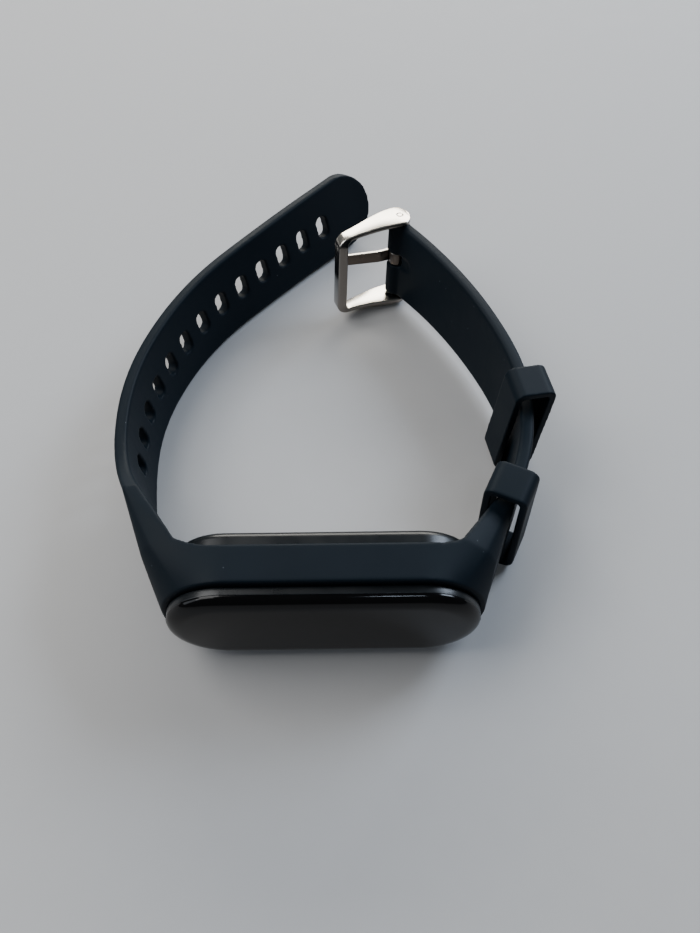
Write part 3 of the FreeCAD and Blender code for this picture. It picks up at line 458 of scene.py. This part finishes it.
class Palette:
    """Builds each finish once and hands it out by material slot."""

    def __init__(self) -> None:
        """Starts with nothing built."""
        self.made: dict[str, Material] = {}

    def get(self, slot: str) -> Material:
        """The material of a slot, built on first use."""
        if slot not in self.made:
            self.made[slot] = FINISHES[slot].build()
        return self.made[slot]

    def dress(self, obj: Object, slot: str, finish: str = "") -> None:
        """Gives an object one material, chosen by its slot.

        Args:
            obj: the object.
            slot: the material slot.
            finish: the finish, where it isn't the slot's own.
        """
        obj.data.materials.clear()
        obj.data.materials.append(self.get(finish or slot))


# ---- places
def joint(name: str) -> dict:
    """The record's joint of a name."""
    return next(entry for entry in frame["joints"] if entry["name"] == name)


COVER_LOW, COVER_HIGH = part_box("display_cover")
CORE_MIDDLE = (COVER_LOW + COVER_HIGH) / 2
CORE_LENGTH = COVER_HIGH.x - COVER_LOW.x
CORE_HEIGHT = COVER_HIGH.z - COVER_LOW.z


def smooth_step(fraction: float) -> float:
    """Smooth step from 0 to 1."""
    t = min(max(fraction, 0.0), 1.0)
    return t * t * (3 - 2 * t)


def pill_ring(inset: float, depth: float, steps: int = 22) -> list[Vector]:
    """Ring of the core's pill outline.

    Args:
        inset: distance inside the core's outline, in millimetres.
        depth: distance behind the crown of the cover, in millimetres.
        steps: segments round each end.

    Returns:
        The ring's points.
    """
    radius = max(CORE_HEIGHT / 2 - inset * MM, 0.0)
    reach = (CORE_LENGTH - CORE_HEIGHT) / 2
    y = COVER_LOW.y + depth * MM
    ring = []
    for end in (1, -1):
        for i in range(steps + 1):
            turn = math.radians(180 * i / steps - 90)
            ring.append(Vector((CORE_MIDDLE.x + end * (reach + radius * math.cos(turn)), y,
                                CORE_MIDDLE.z + end * radius * math.sin(turn))))
    return ring


def rounded_profile(corners: Sequence[tuple[float, float, float]],
                    steps: int = 6) -> list[tuple[float, float]]:
    """Rounds the corners of an open outline.

    Args:
        corners: first coordinate, second coordinate and corner radius.
        steps: segments on each rounded corner.

    Returns:
        The outline's points.
    """
    points = [corners[0][:2]]
    for before, here, after in zip(corners, corners[1:], corners[2:]):
        spot = Vector(here[:2])
        back = (Vector(before[:2]) - spot).normalized()
        ahead = (Vector(after[:2]) - spot).normalized()
        half = back.angle(ahead) / 2
        centre = spot + (back + ahead).normalized() * here[2] / math.sin(half)
        first = spot + back * here[2] / math.tan(half) - centre
        last = spot + ahead * here[2] / math.tan(half) - centre
        sweep = math.pi - 2 * half
        for k in range(steps + 1):
            t = k / steps
            arm = (first * math.sin((1 - t) * sweep) + last * math.sin(t * sweep)) / math.sin(sweep)
            points.append(tuple(centre + arm))
    points.append(corners[-1][:2])
    return points


def cone(low: Vector, high: Vector, radius_low: float, radius_high: float, steps: int = 48) -> Object:
    """A round post that may taper, used only to cut holes.

    Args:
        low: middle of its first end.
        high: middle of its other end.
        radius_low: its radius at the first end, in metres.
        radius_high: its radius at the other end, in metres.
        steps: points round it.

    Returns:
        The cutter.
    """
    axis = (high - low).normalized()
    side = axis.orthogonal().normalized()
    across = axis.cross(side)
    rings = []
    for centre, radius in ((low, radius_low), (high, radius_high)):
        turns = [2 * math.pi * i / steps for i in range(steps)]
        rings.append([centre + (side * math.cos(t) + across * math.sin(t)) * radius for t in turns])
    return mesh_object("hole_cutter", grid_mesh("hole_cutter", rings))


def cut_away(obj: Object, cutters: Iterable[Object]) -> None:
    """Cuts shapes out of a piece and removes the cutters.

    Args:
        obj: the piece.
        cutters: the shapes to cut out.
    """
    cutters = list(cutters)
    for cutter in cutters:
        trim = obj.modifiers.new("cut", "BOOLEAN")
        trim.operation = "DIFFERENCE"
        trim.solver = "EXACT"
        trim.object = cutter
    settled(obj)
    for cutter in cutters:
        bpy.data.objects.remove(cutter)


# ---- strap
@dataclass
class StrapSkin:
    """The silicone strap: holder and both arms cast as one skin, then cut in two across the holder.

    Lengths are in millimetres.
    """

    voxel: float = 0.26
    passes: int = 4
    web_before: float = 5.6
    web_reach: float = 9.0
    pocket_inset: float = 0.3
    pocket_span: tuple[float, float] = (-5.0, 30.0)
    plug_thickness: float = 1.9
    plug_height: float = 3.8
    plug_radius: float = 0.1
    plug_span: tuple[float, float] = (-6.0, -2.0)
    blend_before: float = 4.5
    blend_after: float = 9.0

    HEADINGS = {Side.LONG: -12.8, Side.SHORT: 26.1}
    WEB_AFTER = {Side.LONG: 5.0, Side.SHORT: 7.0}
    BUCKLE_END_HEADING = -42.0
    JOINTS = {Side.LONG: "long_arm_flex", Side.SHORT: "short_arm_flex"}

    def flex_point(self, side: Side) -> Vector:
        """Middle of an arm's flex line."""
        return Vector(joint(self.JOINTS[side])["pos_m"])

    def heading(self, side: Side) -> Vector:
        """Direction in which an arm leaves the holder."""
        turn = math.radians(self.HEADINGS[side])
        return Vector((math.sin(turn), math.cos(turn), 0.0))

    def trimmed(self, form: BMesh, side: Side, offset: float, keep_ahead: bool) -> list[Vector]:
        """Cuts a part off at a plane across an arm and closes it.

        Args:
            form: the part, changed in place.
            side: the arm.
            offset: distance of the plane beyond the arm's flex line.
            keep_ahead: whether what lies beyond the plane is kept.

        Returns:
            Points of the outline where the plane crosses the part beside the arm.
        """
        middle, ahead = self.flex_point(side), self.heading(side)
        everything = list(form.verts) + list(form.edges) + list(form.faces)
        cut = bmesh.ops.bisect_plane(form, geom=everything, plane_co=middle + ahead * offset * MM,
                                     plane_no=ahead, clear_outer=not keep_ahead, clear_inner=keep_ahead)
        rim = [e for e in cut["geom_cut"] if isinstance(e, BMEdge)]
        points = [e.co.copy() for e in cut["geom_cut"] if isinstance(e, BMVert)]
        bmesh.ops.holes_fill(form, edges=rim, sides=0)
        across = Vector((ahead.y, -ahead.x, 0.0))
        return [p for p in points if abs((p - middle).dot(across)) < self.web_reach * MM]

    def web(self, points: Sequence[Vector]) -> Mesh:
        """Web that carries the holder's end over into an arm, clear of the core's pocket.

        Args:
            points: the outlines at the web's two ends.

        Returns:
            The web's mesh.
        """
        form = bmesh.new()
        for point in points:
            form.verts.new(point)
        hull = bmesh.ops.convex_hull(form, input=form.verts)
        spare = {e for e in hull["geom_interior"] + hull["geom_unused"] if isinstance(e, BMVert)}
        bmesh.ops.delete(form, geom=list(spare), context="VERTS")
        bmesh.ops.recalc_face_normals(form, faces=form.faces)
        mesh = bpy.data.meshes.new("web")
        form.to_mesh(mesh)
        form.free()
        obj = mesh_object("web", mesh)
        pocket = grid_mesh("pocket", [pill_ring(self.pocket_inset, depth) for depth in self.pocket_span])
        cut_away(obj, [mesh_object("pocket", pocket)])
        mesh = obj.data
        bpy.data.objects.remove(obj)
        return mesh

    def plug(self) -> Mesh:
        """Web that closes the back of the tongue's slot, behind its curl.

        Returns:
            The web's mesh.
        """
        foot, _, _, up = Buckle().axes()
        turn = math.radians(self.BUCKLE_END_HEADING)
        ahead = Vector((math.sin(turn), math.cos(turn), 0.0))
        ahead = (ahead - up * ahead.dot(up)).normalized()
        out = ahead.cross(up)
        middle = foot + up * Buckle().height / 2 * MM
        rings = []
        for reach in self.plug_span:
            outline = rounded_section(self.plug_thickness / 2 * MM, self.plug_height / 2 * MM,
                                      self.plug_radius * MM)
            rings.append([middle + ahead * reach * MM + out * a + up * b for a, b in outline])
        return grid_mesh("plug", rings)

    def cast(self) -> Mesh:
        """Casts holder, arms and the webs between them as one soft-edged skin.

        Returns:
            The skin's mesh.
        """
        parts = {}
        for node in ("strap_holder", "long_arm", "short_arm"):
            part = node_copy(node, "strap_part")
            parts[node] = bmesh.new()
            parts[node].from_mesh(part.data)
            bpy.data.objects.remove(part)
        webs = []
        for side in Side:
            ends = self.trimmed(parts["strap_holder"], side, -self.web_before, False)
            ends += self.trimmed(parts[side.value], side, self.WEB_AFTER[side], True)
            webs.append(self.web(ends))
        form = bmesh.new()
        for part in parts.values():
            loose = bpy.data.meshes.new("strap_part")
            part.to_mesh(loose)
            part.free()
            form.from_mesh(loose)
        for web in webs + [self.plug()]:
            form.from_mesh(web)
        mesh = bpy.data.meshes.new("strap_cast")
        form.to_mesh(mesh)
        form.free()
        cast = soften(mesh_object("strap_cast", mesh), self.voxel, self.passes)
        mesh = cast.data
        bpy.data.objects.remove(cast)
        return mesh

    def build(self, palette: Palette) -> list[Object]:
        """Makes the two halves of the strap.

        Args:
            palette: the materials.

        Returns:
            The two pieces.
        """
        cast = self.cast()
        made = []
        for side, name in ((Side.LONG, "strap_long_side"), (Side.SHORT, "strap_buckle_side")):
            piece = mesh_object(name, half_of(cast, CORE_MIDDLE.x, side is Side.LONG))
            palette.dress(piece, "silicone")
            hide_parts("strap_holder", side.value)
            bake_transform(piece)
            made.append(piece)
        return made


# How far each smoothing pass moves a point, and the angle still shaded smooth on a cut skin, in degrees.
RELAX_FACTOR, SKIN_SMOOTH = 0.5, 50


def soften(obj: Object, voxel: float, passes: int) -> Object:
    """Recasts a piece as one even skin with softly rounded edges.

    Args:
        obj: the piece.
        voxel: size of its faces, in millimetres.
        passes: how often it is smoothed.

    Returns:
        The piece.
    """
    remesh = obj.modifiers.new("recast", "REMESH")
    remesh.mode = "VOXEL"
    remesh.voxel_size = voxel * MM
    relax = obj.modifiers.new("relax", "SMOOTH")
    relax.factor = RELAX_FACTOR
    relax.iterations = passes
    settled(obj)
    obj.data.shade_smooth()
    return obj


def half_of(mesh: Mesh, middle_x: float, keep_low: bool) -> Mesh:
    """Cuts the strap's skin in two across its holder and closes the half that is kept.

    Only the holder is cut: the long arm's tip passes over the same X further back and stays whole.

    Args:
        mesh: the whole skin.
        middle_x: where it is cut.
        keep_low: whether the half towards -X is kept.

    Returns:
        The half, closed.
    """
    form = bmesh.new()
    form.from_mesh(mesh)
    faces = [f for f in form.faces if all(v.co.y < 0 for v in f.verts)]
    holder = faces + list({e for f in faces for e in f.edges}) + list({v for f in faces for v in f.verts})
    cut = bmesh.ops.bisect_plane(form, geom=holder, plane_co=(middle_x, 0, 0), plane_no=(1, 0, 0),
                                 clear_outer=keep_low, clear_inner=not keep_low)
    rim = [e for e in cut["geom_cut"] if isinstance(e, BMEdge)]
    kept, fresh = set(), {v for e in rim for v in e.verts}
    while fresh:
        kept |= fresh
        fresh = {e.other_vert(v) for v in fresh for e in v.link_edges} - kept
    bmesh.ops.delete(form, geom=[v for v in form.verts if v not in kept], context="VERTS")
    caps = bmesh.ops.holes_fill(form, edges=rim, sides=0)["faces"]
    bmesh.ops.triangulate(form, faces=caps)
    half = bpy.data.meshes.new("strap_half")
    form.to_mesh(half)
    form.free()
    shade(half, SKIN_SMOOTH)
    return half


@dataclass
class Keeper:
    """A silicone loop that holds the strap's free end."""

    node: str
    name: str
    voxel: float = 0.17
    passes: int = 5

    def build(self, palette: Palette) -> Object:
        """Makes the loop.

        Args:
            palette: the materials.

        Returns:
            The piece.
        """
        piece = soften(node_copy(self.node, self.name), self.voxel, self.passes)
        palette.dress(piece, "silicone")
        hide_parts(self.node)
        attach(piece, self.node)
        return piece


# ---- core
@dataclass
class Core:
    """The removable tracker: a domed gloss cover on a moulded shell. Lengths are in millimetres."""

    cover_thickness: float = 1.7
    cover_edge: float = 2.4
    cover_edge_depth: float = 1.45
    skirt: float = 0.2
    skirt_radius: float = 0.06
    dome: float = 0.4
    edge_steps: int = 18
    dome_steps: int = 14
    cover_smooth: float = 40.0
    shell_front: float = 1.85
    rim_back: float = 3.1
    waist_inset: float = 0.4
    wall: float = 0.9
    cavity_back: float = 11.8
    back: float = 12.8
    cavity_radius: float = 0.8
    back_radius: float = 1.5
    edge_radius: float = 0.14
    lip_radius: float = 0.05
    waist_radius: float = 0.1
    corner_steps: int = 8
    shell_smooth: float = 30.0
    cut_past: float = 0.5
    window_gap: float = 0.08

    def cover(self) -> Object:
        """The display cover: a shallow dome that rolls over into its side wall.

        Returns:
            The piece.
        """
        middle = CORE_HEIGHT / 2 / MM
        profile = rounded_profile(((middle, self.cover_thickness, 0),
                                   (0, self.cover_thickness, self.skirt_radius),
                                   (0, self.cover_thickness - self.skirt, 0)))[:-1]
        for i in range(self.edge_steps + 1):
            turn = math.radians(90 * i / self.edge_steps)
            inset = self.cover_edge * (1 - math.cos(turn))
            profile.append((inset, self.cover_edge_depth * (1 - math.sin(turn)) + self.rise(inset)))
        for i in range(1, self.dome_steps + 1):
            inset = self.cover_edge + (middle - self.cover_edge) * i / self.dome_steps
            profile.append((inset, self.rise(inset)))
        return self.ringed("core_cover", profile, self.cover_smooth)

    def rise(self, inset: float) -> float:
        """Depth of the dome behind its crown at an inset from the edge."""
        middle = CORE_HEIGHT / 2 / MM
        return self.dome * (1 - inset / middle) ** 2

    def shell(self) -> Object:
        """The back shell: a hollow case with a wide rim, a waist and a rounded back.

        Returns:
            The piece.
        """
        middle = CORE_HEIGHT / 2 / MM
        inner = self.waist_inset + self.wall
        edge = self.edge_radius
        profile = rounded_profile((
            (middle, self.cavity_back, 0), (inner, self.cavity_back, self.cavity_radius),
            (inner, self.shell_front, self.lip_radius), (0, self.shell_front, edge),
            (0, self.rim_back, edge), (self.waist_inset, self.rim_back, self.waist_radius),
            (self.waist_inset, self.back, self.back_radius), (middle, self.back, 0)), self.corner_steps)
        piece = self.ringed("core_shell", profile, self.shell_smooth)
        cut_away(piece, self.back_cutters())
        shade(piece.data, self.shell_smooth)
        return piece

    def back_cutters(self) -> list[Object]:
        """Cutters for the sensor window and the two charging pads.

        Returns:
            The cutters.
        """
        low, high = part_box("sensor_window")
        spots = [((low.x + high.x) / 2, (low.z + high.z) / 2, (high.x - low.x) / 2)]
        low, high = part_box("charging_contacts")
        radius = (high.x - low.x) / 2
        spots += [((low.x + high.x) / 2, z, radius) for z in (low.z + radius, high.z - radius)]
        depths = (self.cavity_back - self.cut_past, self.back + self.cut_past)
        front, back = (COVER_LOW.y + depth * MM for depth in depths)
        gap = self.window_gap * MM
        return [cone(Vector((x, front, z)), Vector((x, back, z)), radius + gap, radius + gap)
                for x, z, radius in spots]

    def ringed(self, name: str, profile: Sequence[tuple[float, float]], angle: float) -> Object:
        """Makes a pill-shaped piece from an outline of inset and depth.

        Args:
            name: the piece's name.
            profile: insets and depths, from one middle to the other.
            angle: the largest angle that is shaded smooth, in degrees.

        Returns:
            The piece.
        """
        mesh = grid_mesh(name, [pill_ring(inset, depth) for inset, depth in profile], capped=False)
        shade(mesh, angle)
        return mesh_object(name, mesh)

    def build(self, palette: Palette) -> list[Object]:
        """Makes and dresses the cover and the shell.

        Args:
            palette: the materials.

        Returns:
            The two pieces.
        """
        made = []
        for piece, slot, node in ((self.cover(), "cover_gloss", "display_cover"),
                                  (self.shell(), "shell_plastic", "capsule_shell")):
            palette.dress(piece, slot)
            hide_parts(node)
            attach(piece, "core")
            made.append(piece)
        return made


# ---- buckle
@dataclass
class Buckle:
    """The steel pin buckle: a U frame, a curled tongue and the spring inside its bar.

    Lengths are in millimetres. Places are given along the line from the pin to the front bar,
    inward across the strap, and up the pin.
    """

    heading_deg: float = -110.0
    height: float = 18.0
    arm_thickness: float = 0.9
    ear_reach: float = 1.75
    ear_half: float = 2.75
    bar_along: float = 12.0
    bar_inward: float = 1.8
    bar_half_width: float = 1.25
    bar_half_depth: float = 0.92
    bar_drop: float = 1.3
    taper_power: float = 0.9
    bow_power: float = 2.2
    corner_radius: float = 1.7
    edge_radius: float = 0.22
    frame_smooth: float = 32.0
    hole_radius: float = 0.48
    countersink: float = 0.22
    cut_past: float = 0.1
    tongue_thickness: float = 0.7
    tongue_half_width: float = 1.2
    tongue_edge: float = 0.16
    tongue_taper: float = 0.12
    tongue_nose: float = 1.0
    tongue_point: float = 0.02
    tongue_smooth: float = 38.0
    tongue_end: float = 11.9
    tongue_bends: tuple[tuple[float, float], ...] = (
        (1.2, -1.15), (3.0, -1.0), (3.6, -0.98), (4.2, -1.06), (8.0, -1.5), (10.9, -1.85),
        (11.3, -1.9), (11.6, -1.93), (11.8, -1.95), (11.9, -1.96))
    curl_radius: float = 1.15
    curl_sweep: float = 285.0
    spring_wire: float = 0.11
    spring_radius: float = 0.42
    spring_pitch: float = 0.9
    spring_start: float = 5.61

    EAR_STEPS, ARM_STEPS, CORNER_STEPS, BAR_STEPS, CURL_STEPS = 15, 14, 10, 6, 32

    def axes(self) -> tuple[Vector, Vector, Vector, Vector]:
        """Foot of the pin and unit vectors along, inward and up.

        Returns:
            Foot, along, inward and up.
        """
        swing = joint("buckle_swing")
        up = -Vector(swing["axis"]).normalized()
        turn = math.radians(self.heading_deg)
        along = Vector((math.sin(turn), math.cos(turn), 0.0))
        along = (along - up * along.dot(up)).normalized()
        return Vector(swing["pos_m"]), along, up.cross(along).normalized(), up

    def place(self, along: float, inward: float, up: float) -> Vector:
        """Turns millimetres in the buckle's own axes to a point in metres."""
        foot, a, b, c = self.axes()
        return foot + (a * along + b * inward + c * up) * MM

    def arch(self, along: float) -> tuple[float, float]:
        """Inward place and half depth of an arm at a distance from the pin.

        Args:
            along: distance from the pin.

        Returns:
            Inward place and half depth.
        """
        share = max(along, 0.0) / self.bar_along
        taper = smooth_step(share) ** self.taper_power
        half = self.ear_half + (self.bar_half_width - self.ear_half) * taper
        if along < 0:
            half = self.ear_half * math.sqrt(max(1 - (along / self.ear_reach) ** 2, 0.0))
        return self.bar_inward * share ** self.bow_power, half

    def frame_path(self) -> list[tuple[float, float, float, float]]:
        """Middle line of the upper half of the frame, from the ear's end to half way down the bar.

        Returns:
            Along, up, the turn of the outer face in degrees, and half thickness.
        """
        top = self.height - self.arm_thickness / 2
        half = self.arm_thickness / 2
        path = [(-self.ear_reach * math.cos(math.radians(90 * i / self.EAR_STEPS)), top, 0.0, half)
                for i in range(self.EAR_STEPS + 1)]
        corner = self.bar_along - self.corner_radius
        path += [(corner * i / self.ARM_STEPS, top, 0.0, half) for i in range(1, self.ARM_STEPS + 1)]
        for i in range(1, self.CORNER_STEPS + 1):
            turn = 90 * i / self.CORNER_STEPS
            bend = math.radians(turn)
            thick = half + (self.bar_half_depth - half) * smooth_step(i / self.CORNER_STEPS)
            path.append((corner + self.corner_radius * math.sin(bend),
                         top - self.corner_radius * (1 - math.cos(bend)), turn, thick))
        low = top - self.corner_radius
        path += [(self.bar_along, low + (self.height / 2 - low) * i / self.BAR_STEPS, 90.0,
                  self.bar_half_depth) for i in range(1, self.BAR_STEPS + 1)]
        return path

    def frame(self) -> Object:
        """The frame: two arched arms with round ears, and the bar between them.

        Returns:
            The piece.
        """
        _, along_axis, inward_axis, up_axis = self.axes()
        path = self.frame_path()
        drops = [self.bar_drop * smooth_step(a / self.bar_along) * max(2 * u / self.height - 1, 0.0)
                 for a, u, _, _ in path]
        upper = [(a, u - drop, turn, half) for (a, u, turn, half), drop in zip(path, drops)]
        lower = [(a, self.height - u, 180.0 - turn, half) for a, u, turn, half in reversed(path[:-1])]
        rings = []
        for along, up, turn, half in upper + lower:
            inward, depth = self.arch(along)
            centre = self.place(along, inward, up)
            angle = math.radians(turn)
            outer = along_axis * math.sin(angle) + up_axis * math.cos(angle)
            outline = rounded_section(depth, half, self.edge_radius)
            rings.append([centre + (inward_axis * a + outer * b) * MM for a, b in outline])
        piece = mesh_object("buckle_frame_bent", grid_mesh("buckle_frame_bent", rings, capped=False))
        cut_away(piece, self.pin_cutters())
        shade(piece.data, self.frame_smooth)
        return piece

    def pin_cutters(self) -> list[Object]:
        """Cutters for the pin's holes, countersunk on the outer faces.

        Returns:
            The cutters.
        """
        radius = self.hole_radius * MM
        wide = (self.hole_radius + self.countersink + self.cut_past) * MM
        through = cone(self.place(0, 0, -1), self.place(0, 0, self.height + 1), radius, radius)
        lower = cone(self.place(0, 0, -self.cut_past), self.place(0, 0, self.countersink), wide, radius)
        upper = cone(self.place(0, 0, self.height + self.cut_past),
                     self.place(0, 0, self.height - self.countersink), wide, radius)
        return [through, lower, upper]

    def tongue_path(self) -> list[tuple[float, float]]:
        """Middle line of the tongue, from inside its curl to its tip.

        Returns:
            Along and inward places.
        """
        path = []
        for i in range(self.CURL_STEPS + 1):
            turn = math.radians(-90 - self.curl_sweep + self.curl_sweep * i / self.CURL_STEPS)
            path.append((self.curl_radius * math.cos(turn), self.curl_radius * math.sin(turn)))
        return path + list(self.tongue_bends)

    def tongue(self) -> Object:
        """The tongue: a stamped strip curled round the spring bar.

        Returns:
            The piece.
        """
        _, along_axis, inward_axis, up_axis = self.axes()
        path = self.tongue_path()
        rings = []
        for i, (along, inward) in enumerate(path):
            before, after = path[max(i - 1, 0)], path[min(i + 1, len(path) - 1)]
            ahead = Vector((after[0] - before[0], after[1] - before[1])).normalized()
            normal = along_axis * -ahead.y + inward_axis * ahead.x
            beyond_curl = i > self.CURL_STEPS
            nose = max(0.0, 1 - (self.tongue_end - along) / self.tongue_nose) if beyond_curl else 0.0
            width = self.tongue_half_width * (1 - self.tongue_taper * max(along, 0) / self.tongue_end)
            width = max(width * math.sqrt(max(1 - nose ** 2, 0.0)), self.tongue_point)
            centre = self.place(along, inward, self.height / 2)
            outline = rounded_section(width, self.tongue_thickness / 2, self.tongue_edge)
            rings.append([centre + (up_axis * a + normal * b) * MM for a, b in outline])
        mesh = grid_mesh("buckle_tongue_curled", rings)
        shade(mesh, self.tongue_smooth)
        return mesh_object("buckle_tongue_curled", mesh)

    def spring(self) -> Object:
        """The coil spring between the bar's tips, wound by Geometry Nodes.

        Returns:
            The piece.
        """
        length = self.height - 2 * self.spring_start
        sizes = {"Turns": length / self.spring_pitch, "Coil Radius": self.spring_radius * MM,
                 "Wire Radius": self.spring_wire * MM, "Length": length * MM}
        piece = mesh_object("spring_bar_coil", bpy.data.meshes.new("spring_bar_coil"))
        wind = piece.modifiers.new("wind", "NODES")
        wind.node_group = coil_tree(sizes)
        settled(piece)
        foot, _, _, up = self.axes()
        turn = Vector((0, 0, 1)).rotation_difference(up).to_matrix().to_4x4()
        piece.data.transform(Matrix.Translation(foot + up * self.spring_start * MM) @ turn)
        piece.data.shade_smooth()
        return piece

    def build(self, palette: Palette) -> list[Object]:
        """Makes and dresses the frame, the tongue and the spring.

        Args:
            palette: the materials.

        Returns:
            The three pieces.
        """
        made = []
        for piece, node, body, finish in ((self.frame(), "buckle_frame", "buckle", "steel"),
                                          (self.tongue(), "buckle_tongue", "tongue", "tongue"),
                                          (self.spring(), "spring_bar_spring", "short_arm", "steel")):
            palette.dress(piece, "steel", finish)
            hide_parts(node)
            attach(piece, body)
            made.append(piece)
        return made


# Points on each turn of the coil, and round its wire.
TURN_STEPS, WIRE_STEPS = 20, 10


def coil_tree(sizes: dict[str, float]) -> NodeTree:
    """Geometry Nodes that wind a round wire into a coil along +Z.

    Args:
        sizes: the named inputs and their values.

    Returns:
        The node group.
    """
    tree = bpy.data.node_groups.new("coil_spring", "GeometryNodeTree")
    for name, value in sizes.items():
        socket = tree.interface.new_socket(name, in_out="INPUT", socket_type="NodeSocketFloat")
        socket.default_value = value
    tree.interface.new_socket("Geometry", in_out="OUTPUT", socket_type="NodeSocketGeometry")
    given = add_node(tree, "NodeGroupInput").outputs
    spiral = add_node(tree, "GeometryNodeCurveSpiral", {
        "Resolution": TURN_STEPS, "Rotations": given["Turns"], "Start Radius": given["Coil Radius"],
        "End Radius": given["Coil Radius"], "Height": given["Length"]})
    wire = add_node(tree, "GeometryNodeCurvePrimitiveCircle", {
        "Resolution": WIRE_STEPS, "Radius": given["Wire Radius"]})
    tube = add_node(tree, "GeometryNodeCurveToMesh", {
        "Curve": spiral.outputs[0], "Profile Curve": wire.outputs[0], "Fill Caps": True})
    real = add_node(tree, "GeometryNodeRealizeInstances", {"Geometry": tube.outputs[0]})
    dressed = add_node(tree, "GeometryNodeSetMaterial", {"Geometry": real.outputs[0]})
    add_node(tree, "NodeGroupOutput", {"Geometry": dressed.outputs[0]})
    return tree


# ---- studio
@dataclass(frozen=True)
class Lamp:
    """A soft rectangular light: its place and size in millimetres, power in watts, and colour."""

    name: str
    place: tuple[float, float, float]
    size: tuple[float, float]
    watts: float
    colour: str = "FFFFFF"


@dataclass
class Studio:
    """Pale floor, soft lights and the camera.

    The camera's place is measured in millimetres from the middle of the display's crown, at floor
    height; the lights' places are in millimetres in the frame's own axes.
    """

    camera_place: tuple[float, float, float] = (4.06, -60.14, 147.86)
    pitch_deg: float = 57.02
    yaw_deg: float = 0.13
    roll_deg: float = -0.62
    lens: float = 38.585
    sensor: float = 36.0
    near: float = 5.0
    floor_half: float = 700.0
    aim_height: float = 8.0
    sky_colour: str = "DDE2E6"
    sky_strength: float = 0.16

    LAMPS = (
        Lamp("ceiling_soft", (-300, 60, 450), (420, 320), 2.6),
        Lamp("lamp_small", (54, -235, 440), (44, 22), 0.16, "DCEBFF"),
        Lamp("window_back", (40, 620, 250), (620, 240), 5.6, "FFFCF4"),
        Lamp("window_right", (400, 300, 360), (260, 260), 4.0, "DCEBFF"),
        Lamp("window_left", (-420, -60, 220), (260, 260), 0.5, "EEF4FF"),
    )

    def camera(self) -> None:
        """Sets the camera at the viewing angle."""
        pitch, yaw, roll = (math.radians(a) for a in (self.pitch_deg, self.yaw_deg, self.roll_deg))
        level = math.cos(pitch)
        ahead = Vector((math.sin(yaw) * level, math.cos(yaw) * level, -math.sin(pitch)))
        right = ahead.cross(Vector((0, 0, 1))).normalized()
        up = right.cross(ahead)
        turned_right = right * math.cos(roll) + up * math.sin(roll)
        turned_up = up * math.cos(roll) - right * math.sin(roll)
        data = bpy.data.cameras.new("camera")
        data.sensor_width = self.sensor
        data.lens = self.lens
        data.clip_start = self.near * MM
        seat = bpy.data.objects.new("camera", data)
        bpy.context.scene.collection.objects.link(seat)
        turn = Matrix((turned_right, turned_up, -ahead)).transposed().to_4x4()
        crown = Vector((CORE_MIDDLE.x, COVER_LOW.y, 0.0))
        seat.matrix_world = Matrix.Translation(crown + Vector(self.camera_place) * MM) @ turn
        bpy.context.scene.camera = seat

    def light(self, lamp: Lamp) -> None:
        """Hangs a lamp and aims it at the object.

        Args:
            lamp: the lamp.
        """
        data = bpy.data.lights.new(lamp.name, "AREA")
        data.shape = "RECTANGLE"
        data.size, data.size_y = lamp.size[0] * MM, lamp.size[1] * MM
        data.energy = lamp.watts
        data.color = linear(lamp.colour)[:3]
        hung = bpy.data.objects.new(lamp.name, data)
        bpy.context.scene.collection.objects.link(hung)
        seat = Vector(lamp.place) * MM
        aim = (Vector((0, 0, self.aim_height * MM)) - seat).to_track_quat("-Z", "Y")
        hung.matrix_world = Matrix.Translation(seat) @ aim.to_matrix().to_4x4()

    def build(self) -> None:
        """Makes the floor, the lights and the camera."""
        half = self.floor_half * MM
        mesh = bpy.data.meshes.new("studio_floor")
        corners = [(-half, -half, 0), (half, -half, 0), (half, half, 0), (-half, half, 0)]
        mesh.from_pydata(corners, [], [(0, 1, 2, 3)])
        floor = mesh_object("studio_floor", mesh)
        floor.data.materials.append(FLOOR.build())
        world = bpy.data.worlds.new("studio")
        world.use_nodes = True
        sky = world.node_tree.nodes["Background"]
        sky.inputs["Color"].default_value = linear(self.sky_colour)
        sky.inputs["Strength"].default_value = self.sky_strength
        bpy.context.scene.world = world
        for lamp in self.LAMPS:
            self.light(lamp)
        self.camera()


def dress_cad_nodes(palette: Palette) -> None:
    """Gives every CAD node that stays visible its finish, by the slot it came with.

    Args:
        palette: the materials.
    """
    for name, obj in frame["nodes"].items():
        slot = obj.material_slots[0].material.name.split(".")[0]
        obj.material_slots[0].material = palette.get(slot)
        LOG.info("node %s: %s", name, slot)


def main() -> None:
    """Builds every sub-assembly in order."""
    logging.basicConfig(level=logging.INFO, format="%(message)s")
    palette = Palette()
    pieces = StrapSkin().build(palette)
    pieces.append(Keeper("keeper_near", "keeper_near_loop").build(palette))
    pieces.append(Keeper("keeper_far", "keeper_far_loop").build(palette))
    pieces += Core().build(palette)
    pieces += Buckle().build(palette)
    dress_cad_nodes(palette)
    for piece in pieces:
        LOG.info("piece %s: %d faces", piece.name, len(piece.data.polygons))
    Studio().build()


if __name__ == "__main__":
    main()
